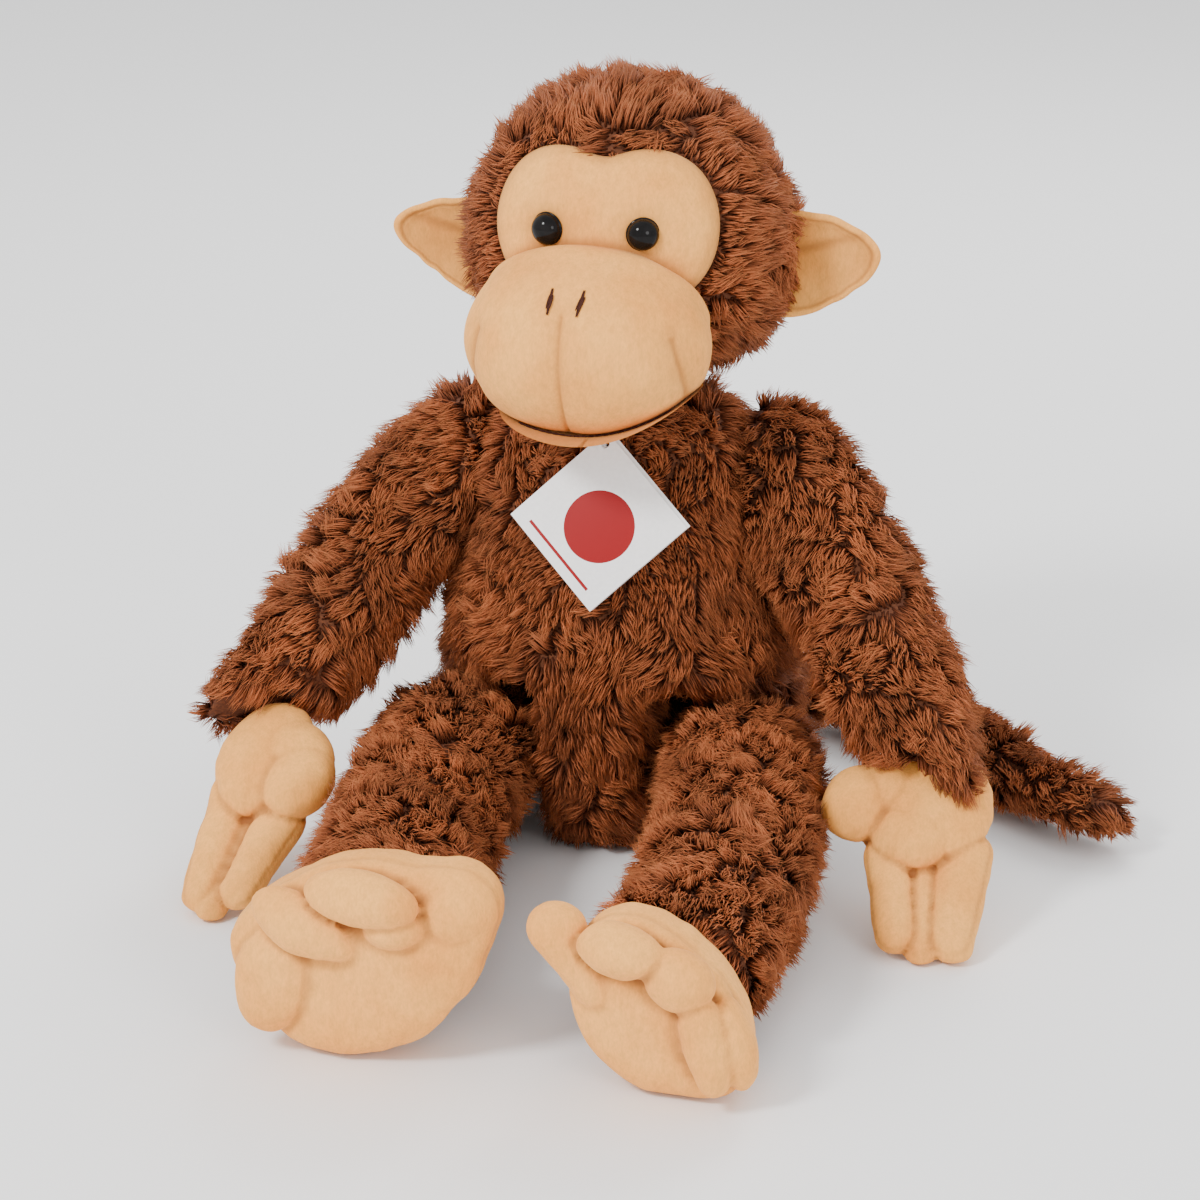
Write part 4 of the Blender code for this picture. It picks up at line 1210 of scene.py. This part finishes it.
def stitched(name, points, edges, node_name):
    """Stitches on the head, one along each edge, in place of the frame's node."""
    wire = bpy.data.meshes.new(name)
    wire.from_pydata([tuple(p) for p in points], edges, [])
    mesh = grown(name, wire, stitch_tree, Thickness=THREAD)
    if "run" in mesh.attributes:
        mesh.attributes.remove(mesh.attributes["run"])
    piece = link(name, mesh)
    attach(piece, "head")
    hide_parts(node_name)
    print(f"{name}: {len(edges)} stitches")


# %% The mouth's line and the two nostrils
MOUTH_ENDS = (-21 * MM, 35 * MM)
STITCH = 2.6 * MM

count = int((MOUTH_ENDS[1] - MOUTH_ENDS[0]) / STITCH)
mouth = []
for x in np.linspace(*MOUTH_ENDS, count + 1) + MOUTH_MIDDLE:
    mouth.append(on_muzzle(x, mouth_height(x) - 0.3 * MM, 0.15 * MM))
stitched("mouth_stitches", mouth, [(k, k + 1) for k in range(count)], "mouth_line")

NOSTRIL_SPREAD = 5.6 * MM
NOSTRIL_LENGTH = 7.4 * MM
NOSTRIL_THREADS = 4
NOSTRIL_LEANS = {"left": 0.66 * MM, "right": 0.3 * MM}
for side, sign in SIDES.items():
    points, edges = [], []
    for k in range(NOSTRIL_THREADS):
        place = (k / (NOSTRIL_THREADS - 1) - 0.5) * 2
        half = NOSTRIL_LENGTH / 2 * (1 - 0.5 * place * place)
        x = muzzle_middle.x - 1.5 * MM + sign * NOSTRIL_SPREAD + place * 0.62 * MM
        z = NOSE_TOP + 2.2 * MM
        for end in (1, -1):
            points.append(on_muzzle(x + end * NOSTRIL_LEANS[side], z + end * half, 0.1 * MM))
        edges.append((2 * k, 2 * k + 1))
    stitched(f"nostril_stitches_{side}", points, edges, f"nostril_{side}")


# %% [markdown]
# ## Eyes
# A safety eye is a moulded black dome with a thin flange, pushed through the mask on a ribbed shank and
# locked by a washer inside. Only the dome shows. It is a turned part, so its profile is spun by a Screw
# modifier, fine enough that the lamps are mirrored without facets.

# %% Turn the domes
FLANGE = 0.9 * MM
EYE_SEAT = 0.4 * MM
DOME_HEIGHT = 0.86             # of the dome's radius
DOME_STEPS = 14
RIM_STEPS = 6
SHANK_RADIUS = 2.3 * MM
SHANK_LENGTH = 6 * MM
EYE_SUNK = 1.0 * MM
TURNING_STEPS = 56


def build_eye(side):
    sign = SIDES[side]
    dome_radius = EYE_RADIUS - 0.45 * MM
    profile = []
    for step in range(DOME_STEPS + 1):
        angle = math.radians(90) * step / DOME_STEPS
        rise = dome_radius * DOME_HEIGHT * math.cos(angle)
        profile.append((dome_radius * math.sin(angle), EYE_SEAT + FLANGE + rise))
    for step in range(RIM_STEPS + 1):
        angle = math.radians(180) * step / RIM_STEPS
        profile.append((EYE_RADIUS - FLANGE / 2 + FLANGE / 2 * math.sin(angle),
                        EYE_SEAT + FLANGE / 2 + FLANGE / 2 * math.cos(angle)))
    profile += [(SHANK_RADIUS, EYE_SEAT), (SHANK_RADIUS, -SHANK_LENGTH), (0.0, -SHANK_LENGTH)]
    mesh = bpy.data.meshes.new("eye")
    mesh.from_pydata([(r, 0, z) for r, z in profile], [(k, k + 1) for k in range(len(profile) - 1)], [])
    ob = link("eye_turner", mesh)
    screw = ob.modifiers.new("turn", "SCREW")
    screw.angle = math.tau
    screw.steps = screw.render_steps = TURNING_STEPS
    screw.use_merge_vertices = True
    screw.merge_threshold = 0.00001
    made = applied(ob)
    bm = bmesh.new()
    bm.from_mesh(made)
    bmesh.ops.remove_doubles(bm, verts=bm.verts, dist=0.000005)
    bmesh.ops.recalc_face_normals(bm, faces=bm.faces)
    bm.to_mesh(made)
    bm.free()
    spot = eye_place(sign)
    spot[1] += EYE_SUNK
    forwards = Matrix.Rotation(math.radians(90), 4, "X")
    made.transform(Matrix.Translation(spot) @ Matrix.Rotation(sign * EYE_TURN, 4, "Z") @ forwards)
    made.shade_smooth()
    made.materials.append(eye_finish)
    piece = link(f"eye_dome_{side}", made)
    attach(piece, "head")
    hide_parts(f"eye_{side}")


for side in SIDES:
    build_eye(side)
print("two eyes of", round(EYE_RADIUS * 2000, 1), "mm")


# %% [markdown]
# ## Ears
# An ear is two plush leaves sewn round the edge and lightly filled, set upright into the head's side seam.
# It is cupped forwards, and its edge rolls over a shallow dish. A flattened ball is bent into that shape.

# %% Shape both ears
EARS = {                       # in millimetres: middle, and the outline seen from the front
    "left": {"middle": (76, 223), "outline": (
        (50, 240), (62, 243), (71, 242), (85, 238.5), (93, 234.5), (97.5, 229), (95, 221.5), (87, 214),
        (78, 208), (69, 203.5), (60, 202), (50, 205))},
    "right": {"middle": (-72, 223), "outline": (
        (-48, 238), (-58, 241), (-67, 240), (-80, 237.5), (-88, 234.5), (-92.5, 230), (-90.5, 224),
        (-83, 217.5), (-75, 211.5), (-67, 206), (-58, 202), (-48, 204))},
}
EAR_Y = 5 * MM
EAR_THICK = 4.0 * MM
EAR_CUP = 9.0 * MM
EAR_DISH = 2.6 * MM
EAR_RIM = 0.80


def reach_of(outline, middle, around):
    """How far an outline is from a middle, in each direction, as a smooth curve."""
    angles = np.array([math.atan2(z - middle[1], x - middle[0]) for x, z in outline])
    reaches = np.array([math.hypot(x - middle[0], z - middle[1]) for x, z in outline])
    order = np.argsort(angles)
    steps = np.linspace(-math.pi, math.pi, 181)[:-1]
    fine = np.interp(steps, angles[order], reaches[order], period=math.tau)
    fine = (fine + np.roll(fine, 2) + np.roll(fine, -2) + np.roll(fine, 4) + np.roll(fine, -4)) / 5
    return np.interp(around, steps, fine, period=math.tau)


def build_ear(side):
    sign = SIDES[side]
    middle = EARS[side]["middle"]
    mesh, d = even_ball(40)
    reach = reach_of(EARS[side]["outline"], middle, np.arctan2(d[:, 2], d[:, 0])) * MM
    ring = np.hypot(d[:, 0], d[:, 2])
    spread = np.sin(np.arcsin(np.clip(ring, 0, 1)) * 0.999) / np.maximum(ring, 1e-9)
    x = middle[0] * MM + d[:, 0] * reach * spread
    z = middle[1] * MM + d[:, 2] * reach * spread
    out = np.clip((x * sign - 60 * MM) / (36 * MM), -0.3, 1.0)
    up = (z - middle[1] * MM) / (19 * MM)
    front = d[:, 1] < 0
    dish = front / (1 + np.exp((ring - EAR_RIM) * 24))
    y = EAR_Y + d[:, 1] * EAR_THICK * np.where(front, 1.0, 0.8)
    cupped_up = EAR_CUP * 0.45 * up ** 2 * (1 - 0.5 * np.clip(out, 0, 1))
    y += EAR_DISH * dish - EAR_CUP * 0.55 * out ** 2 - cupped_up
    fold_line = 0.15 + 0.55 * out
    fold = np.exp(-((up - fold_line) / 0.10) ** 2) * front * np.clip(1.15 - ring, 0, 1)
    seam = bell(ring - EAR_RIM - 0.03, 0.04) * front
    y += 1.3 * MM * fold + 0.6 * MM * seam
    points = np.column_stack([x, y, z])
    points[:, 1] += lumps(points, 70.0, 0.7 * MM, 12 + sign)
    set_points(mesh, points)
    # painted shade in the rim's seam, under the rolled fold and in the dish
    crease_shade = np.clip(0.40 * seam + 0.5 * fold + 0.22 * dish, 0, 1)
    plush_piece(f"ear_{side}_plush", mesh, "head", [f"ear_{side}_front", f"ear_{side}_back"], crease_shade)


for side in SIDES:
    build_ear(side)


# %% [markdown]
# ## Hands and feet
# A hand is a back and a palm, sewn round the edge, with the fingers parted by stitched lines. A foot is a
# thick round cushion with its toes pinched up over the sole. Both are made the way clay is: rounded bars
# and balls are put together, one voxel remesh gives them a single skin, and a few rounds of smoothing
# soften where they meet. What is left of each meeting is a crease, found by its hollow shape, and the
# finish paints shade into it.

# %% Bars and balls in a frame of their own
def rounded_bar(a, b, start, end, thick=1.0):
    """A bar with round ends from a to b. Its depth is its width times `thick`."""
    mesh, d = even_ball(9)
    a, b = np.array(a, float), np.array(b, float)
    far = d @ (b - a) > 0
    depth = np.array([1.0, thick, 1.0])
    set_points(mesh, np.where(far[:, None], b + d * depth * end, a + d * depth * start))
    return mesh


def puff(middle, radii, lean=0.0):
    """A stuffed ball, leaned by some degrees in the plane of the hand or the sole."""
    mesh, d = even_ball(12)
    turn = np.array(Matrix.Rotation(math.radians(lean), 3, "Y"))
    set_points(mesh, np.array(middle) + (d * np.array(radii)) @ turn.T)
    return mesh


def one_skin(name, solids, placed, voxel, smoothing):
    """All the solids as a single skin, moved from millimetres in their own frame to their place."""
    bm = bmesh.new()
    for solid in solids:
        bm.from_mesh(solid)
    mesh = bpy.data.meshes.new(name)
    bm.to_mesh(mesh)
    bm.free()
    mesh.transform(placed @ Matrix.Scale(MM, 4))
    return remeshed(name, mesh, voxel, smoothing)


def rested(points, floor_height=1.0 * MM, soft=1.2 * MM):
    """Whatever would sink into the floor is pressed flat on it."""
    up = (points[:, 2] - floor_height) / soft
    points[:, 2] = floor_height + soft * np.logaddexp(0, up)
    return points


# %% Hands
HAND_SEAM = 0.55 * MM
CREASE_DEPTH = 0.9 * MM
WRINKLE = 0.45 * MM
HAND_VOXEL = 1.0 * MM
FOOT_VOXEL = 1.1 * MM
PUCKERS = 2400                 # how close the seam's puckers follow each other
HANDS = {                      # in millimetres: across to the thumb, out of the back, along the fingers
    "left": {"wrist": (134, -80, 41), "along": (0.12, -0.78, -0.61), "across": (-1, -0.1, 0), "solids": (
        puff((0, 0, -4), (23, 12, 24)), puff((6, 1, 9), (16, 10, 14)), puff((26, 1, -3), (13.5, 11, 15), 12),
        puff((14, 0.5, -7), (19, 10.5, 14)),
        rounded_bar((15, -5, 14), (12, -4, 47), 9, 7.5, 0.9), rounded_bar((2, -7, 18), (3, -7, 53), 7, 6),
        rounded_bar((-11, -6, 14), (-7.5, -6, 48), 11.5, 9, 0.8))},
    "right": {"wrist": (-114, -104, 45), "along": (-0.14, -0.78, -0.61), "across": (1, -0.1, 0), "solids": (
        puff((1, 0, -2), (19, 12, 24)), puff((-1, 0, 9), (13, 10, 14)), puff((17, 2, 5), (13.5, 11, 16), -8),
        puff((9, 1, -5), (18, 11, 15)),
        rounded_bar((14, -5, 20), (10, -4, 50), 10, 7.5, 0.85),
        rounded_bar((2, -8, 22), (1, -7, 59), 6.5, 5.5),
        rounded_bar((-8, -5, 14), (-5, -6, 54), 10, 7.5, 0.85))},
}


def hand_frame(side):
    hand = HANDS[side]
    along = Vector(hand["along"]).normalized()
    across = Vector(hand["across"])
    across = (across - along * across.dot(along)).normalized()
    facing = across.cross(along) * SIDES[side]
    turn = Matrix((across, facing, along)).transposed().to_4x4()
    return Matrix.Translation(Vector(hand["wrist"]) * MM) @ turn


def build_hand(side):
    placed = hand_frame(side)
    skin = one_skin(f"hand_{side}", HANDS[side]["solids"], placed, HAND_VOXEL, 2)
    points, normals = points_of(skin), normals_of(skin)
    local = (points - np.array(placed.translation)) @ np.array(placed.to_3x3())
    sideways = np.abs(normals @ np.array(placed.to_3x3())[:, 0])
    edge = bell(local[:, 1] + 2 * MM, 0.9 * MM) * np.clip(sideways * 1.6, 0, 1)
    pucker = 0.65 + 0.35 * np.sin(local[:, 2] * PUCKERS)
    crease_shade = hollows(skin)
    push = -HAND_SEAM * edge * pucker - CREASE_DEPTH * crease_shade
    push = push + lumps(points, 60.0, 0.9 * MM, 21) + lumps(points, 170.0, WRINKLE, 22)
    set_points(skin, rested(points + normals * push[:, None]))
    nodes = [f"hand_{side}_{part}" for part in ("palm", "back", "stuffing")]
    # painted shade in the creases between the fingers and along the edge's seam
    plush_piece(f"hand_{side}_plush", skin, f"arm_{side}", nodes, np.clip(0.95 * crease_shade + 0.3 * edge, 0, 1))


for side in SIDES:
    build_hand(side)


# %% Feet
FEET = {                       # in millimetres: across, forwards and up, from the world's origin
    "left": {"middle": (68, 31), "outline": (
        (43, 57), (57, 64), (72, 58.5), (83, 49.5), (92, 38.5), (98.5, 18), (96, 7), (88, 1), (76, 0),
        (56, 4), (43, 17), (37, 35)), "toes": (
        puff((34.5, -236, 58), (10, 8.5, 9), 25), rounded_bar((35, -236, 57), (47, -233, 38), 8.5, 9),
        puff((57.5, -243, 55.5), (14.5, 8, 9.5), 8), puff((75.5, -242, 47), (12, 8, 11.5), 38),
        puff((84.5, -241, 25.5), (9, 8, 19), -14), puff((93, -236, 24), (7.5, 8, 17), -14))},
    "right": {"middle": (-33, 37), "outline": (
        (-58, 62), (-50, 68), (-35, 72), (-14, 71.5), (8, 72), (14, 67), (14, 59), (9, 44), (-1, 23),
        (-15, 10), (-32, 2), (-48, 1), (-64, 9), (-76, 24), (-80, 35), (-78, 44), (-70, 54)), "toes": (
        puff((-2, -231, 58), (14, 11, 13), -25), puff((-29, -243, 64), (20, 8, 10), 6),
        puff((-19.5, -239, 54), (12, 7.5, 9), -12), puff((-50, -241, 51), (19.5, 8, 10), 30),
        puff((-62, -237, 29.5), (14, 8, 21), 18))},
}
SOLE_Y = -229.0
SOLE_DEPTH = 13.0
SOLE_BACK = 21.0
SOLE_FLATNESS = 0.62
SOLE_SEAM = 0.5 * MM
SOLE_DIP = 2.2 * MM
SOLE_DIP_WIDTH = 17 * MM


def cushion(middle, outline):
    """A thick cushion whose front view has the outline's shape, with a flat front and back."""
    mesh, d = even_ball(24)
    reach = reach_of(outline, middle, np.arctan2(d[:, 2], d[:, 0]))
    depth = np.where(d[:, 1] < 0, SOLE_DEPTH, SOLE_BACK) * np.sign(d[:, 1]) * np.abs(d[:, 1]) ** SOLE_FLATNESS
    x, z = middle[0] + d[:, 0] * reach, middle[1] + d[:, 2] * reach
    set_points(mesh, np.column_stack([x, SOLE_Y + depth, z]))
    return mesh


def build_foot(side):
    foot = FEET[side]
    solids = [cushion(foot["middle"], foot["outline"]), *foot["toes"]]
    skin = one_skin(f"foot_{side}", solids, Matrix.Identity(4), FOOT_VOXEL, 2)
    points, normals = points_of(skin), normals_of(skin)
    crease_shade = hollows(skin)
    rim = bell(points[:, 1] - (SOLE_Y - 2) * MM, 0.9 * MM) * (1 - np.abs(normals[:, 1])) ** 2
    hollow = np.array([foot["middle"][0] - 4, SOLE_Y - SOLE_DEPTH, foot["middle"][1] - 8]) * MM
    dip = SOLE_DIP * bell_round(points, hollow, SOLE_DIP_WIDTH)
    push = -SOLE_SEAM * rim - dip - CREASE_DEPTH * crease_shade
    push = push + lumps(points, 55.0, 1.2 * MM, 31) + lumps(points, 150.0, WRINKLE, 32)
    set_points(skin, rested(points + normals * push[:, None]))
    nodes = [f"foot_{side}_{part}" for part in ("sole", "upper", "toes", "stuffing")]
    # painted shade in the creases between the toes and along the sole's seam
    plush_piece(f"foot_{side}_plush", skin, f"leg_{side}", nodes, np.clip(crease_shade + 0.3 * rim, 0, 1))


for side in SIDES:
    build_foot(side)


# %% [markdown]
# ## The hang tag
# A folded square of coated card hangs by one corner from a nylon loop. Its print is plain: a red disc and a
# thin red rule, drawn by the material from the card's own coordinates. The two leaves bow a little apart.

# %% Card with a plain print
TAG_SIDE = 47.5 * MM
TAG_THICKNESS = 0.5 * MM
TAG_HOLE = Vector((4, -48, 162.5)) * MM
TAG_TILT = math.radians(22.5)
TAG_HOLE_INSET = 5 * MM
TAG_HOLE_RADIUS = 1.6 * MM
TAG_DROP = TAG_SIDE / math.sqrt(2) - TAG_HOLE_INSET
tag_place = Matrix.Translation(TAG_HOLE) @ Matrix.Rotation(math.pi / 2 - TAG_TILT, 4, "X")

PRINT_RED = (0.27, 0.0, 0.002, 1.0)
DISC_MIDDLE = (2 * MM, -1 * MM)
DISC_RADIUS = 13.5 * MM
RULE_Y = -19.5 * MM
RULE_HALF_WIDTH = 0.6 * MM
RULE_HALF_LENGTH = 17 * MM

card_finish, tree, shader = new_material("printed_card", Specular_IOR_Level=0.25)
place = node(tree, "ShaderNodeTexCoord").outputs["Object"]
flat = node(tree, "ShaderNodeMapping", {
    "Vector": place, "Location": tag_place.translation, "Rotation": tag_place.to_euler(),
}, vector_type="TEXTURE").outputs["Vector"]
spun = node(tree, "ShaderNodeMapping", {
    "Vector": flat, "Location": (0, -TAG_DROP, 0), "Rotation": (0, 0, math.radians(-45)),
}, vector_type="TEXTURE").outputs["Vector"]
parts = node(tree, "ShaderNodeSeparateXYZ", {0: spun}).outputs
disc_x = number(tree, "SUBTRACT", parts["X"], DISC_MIDDLE[0])
disc_y = number(tree, "SUBTRACT", parts["Y"], DISC_MIDDLE[1])
from_middle = node(tree, "ShaderNodeCombineXYZ", {0: disc_x, 1: disc_y}).outputs["Vector"]
far = node(tree, "ShaderNodeVectorMath", {0: from_middle}, operation="LENGTH").outputs["Value"]
disc = number(tree, "LESS_THAN", far, DISC_RADIUS)
from_rule = number(tree, "ABSOLUTE", number(tree, "SUBTRACT", parts["Y"], RULE_Y))
rule = number(tree, "LESS_THAN", from_rule, RULE_HALF_WIDTH)
short = number(tree, "LESS_THAN", number(tree, "ABSOLUTE", parts["X"]), RULE_HALF_LENGTH)
rule = number(tree, "MULTIPLY", rule, short)
faces_front = number(tree, "GREATER_THAN", parts["Z"], 0.1 * MM)
print_here = number(tree, "MULTIPLY", number(tree, "MAXIMUM", disc, rule), faces_front)
paper = node(tree, "ShaderNodeTexNoise", {"Vector": place, "Scale": 700.0, "Detail": 3.0}).outputs["Fac"]
white = colour_ramp(tree, paper, [(0.3, (0.84, 0.83, 0.82)), (0.7, (0.9, 0.89, 0.88))])
mixed = node(tree, "ShaderNodeMix", data_type="RGBA")
tree.links.new(print_here, mixed.inputs[MIX_FACTOR])
tree.links.new(white, mixed.inputs[MIX_A])
mixed.inputs[MIX_B].default_value = PRINT_RED
tree.links.new(mixed.outputs[MIX_RESULT], shader.inputs["Base Color"])
sheen = node(tree, "ShaderNodeMapRange", {"Value": paper, "To Min": 0.3, "To Max": 0.45}).outputs["Result"]
tree.links.new(sheen, shader.inputs["Roughness"])
print("the tag's middle hangs", round(TAG_DROP * 1000, 1), "mm under its hole")


# %% The two leaves
LEAF_GAP = 0.9 * MM
LEAF_BOW = 0.8 * MM
LEAF_CUTS = 40
BACK_BOW = 0.3
BACK_SHIFT = 1.2 * MM


def leaf(name, node_name, behind, bow, shift=0.0):
    """A square card with a round hole in one corner, a little bowed."""
    bm = bmesh.new()
    bmesh.ops.create_grid(bm, x_segments=LEAF_CUTS, y_segments=LEAF_CUTS, size=TAG_SIDE / 2)
    hole = Vector((1, 1, 0)).normalized() * TAG_DROP
    for v in bm.verts:
        off = v.co - hole
        if off.length < TAG_HOLE_RADIUS * 1.5:
            v.co = hole + off.normalized() * max(off.length, TAG_HOLE_RADIUS) if off.length > 0 else v.co
    inside = [f for f in bm.faces if (f.calc_center_median() - hole).length < TAG_HOLE_RADIUS]
    bmesh.ops.delete(bm, geom=inside, context="FACES")
    for v in bm.verts:
        out = v.co.length / TAG_SIDE
        v.co.z = bow * (0.5 - 2 * out * out) - behind
        v.co.x += shift
    mesh = bpy.data.meshes.new(name)
    bm.to_mesh(mesh)
    bm.free()
    print(f"{name}: {len(mesh.polygons)} faces, bowed by", round(abs(bow) * 1000, 2), "mm")
    ob = link(name + "_sheet", mesh)
    thick = ob.modifiers.new("thick", "SOLIDIFY")
    thick.thickness = TAG_THICKNESS
    thick.offset = 0
    made = applied(ob)
    hung = Matrix.Translation((0, -TAG_DROP, 0)) @ Matrix.Rotation(math.radians(45), 4, "Z")
    made.transform(tag_place @ hung)
    made.shade_flat()
    made.materials.append(card_finish)
    piece = link(name, made)
    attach(piece, "tag")
    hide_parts(node_name)


leaf("tag_front", "tag_front_leaf", 0.0, LEAF_BOW)
leaf("tag_back", "tag_back_leaf", TAG_THICKNESS + LEAF_GAP, -LEAF_BOW * BACK_BOW, shift=BACK_SHIFT)

# %% The nylon loop and the washers inside the head
lo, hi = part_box("tag_fastener")
LOOP_RADIUS = 3.2 * MM
NYLON_RADIUS = 0.45 * MM
bpy.ops.mesh.primitive_torus_add(major_radius=LOOP_RADIUS, minor_radius=NYLON_RADIUS, major_segments=64,
                                 minor_segments=12)
loop = bpy.context.active_object
loop_mesh = loop.data
bpy.data.objects.remove(loop)
on_edge = Matrix.Rotation(math.pi / 2, 4, "Y")
loop_mesh.transform(Matrix.Translation((lo + hi) / 2) @ tag_place.to_3x3().to_4x4() @ on_edge)
loop_mesh.shade_smooth()
loop_mesh.materials.append(nylon_finish)
loop = link("tag_loop", loop_mesh)
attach(loop, "torso")
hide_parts("tag_fastener")

for side in SIDES:
    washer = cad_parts[f"eye_washer_{side}"]
    washer.data.materials.clear()
    washer.data.materials.append(washer_finish)
print("a loop", round(LOOP_RADIUS * 2000, 1), "mm across, and a washer behind each eye")
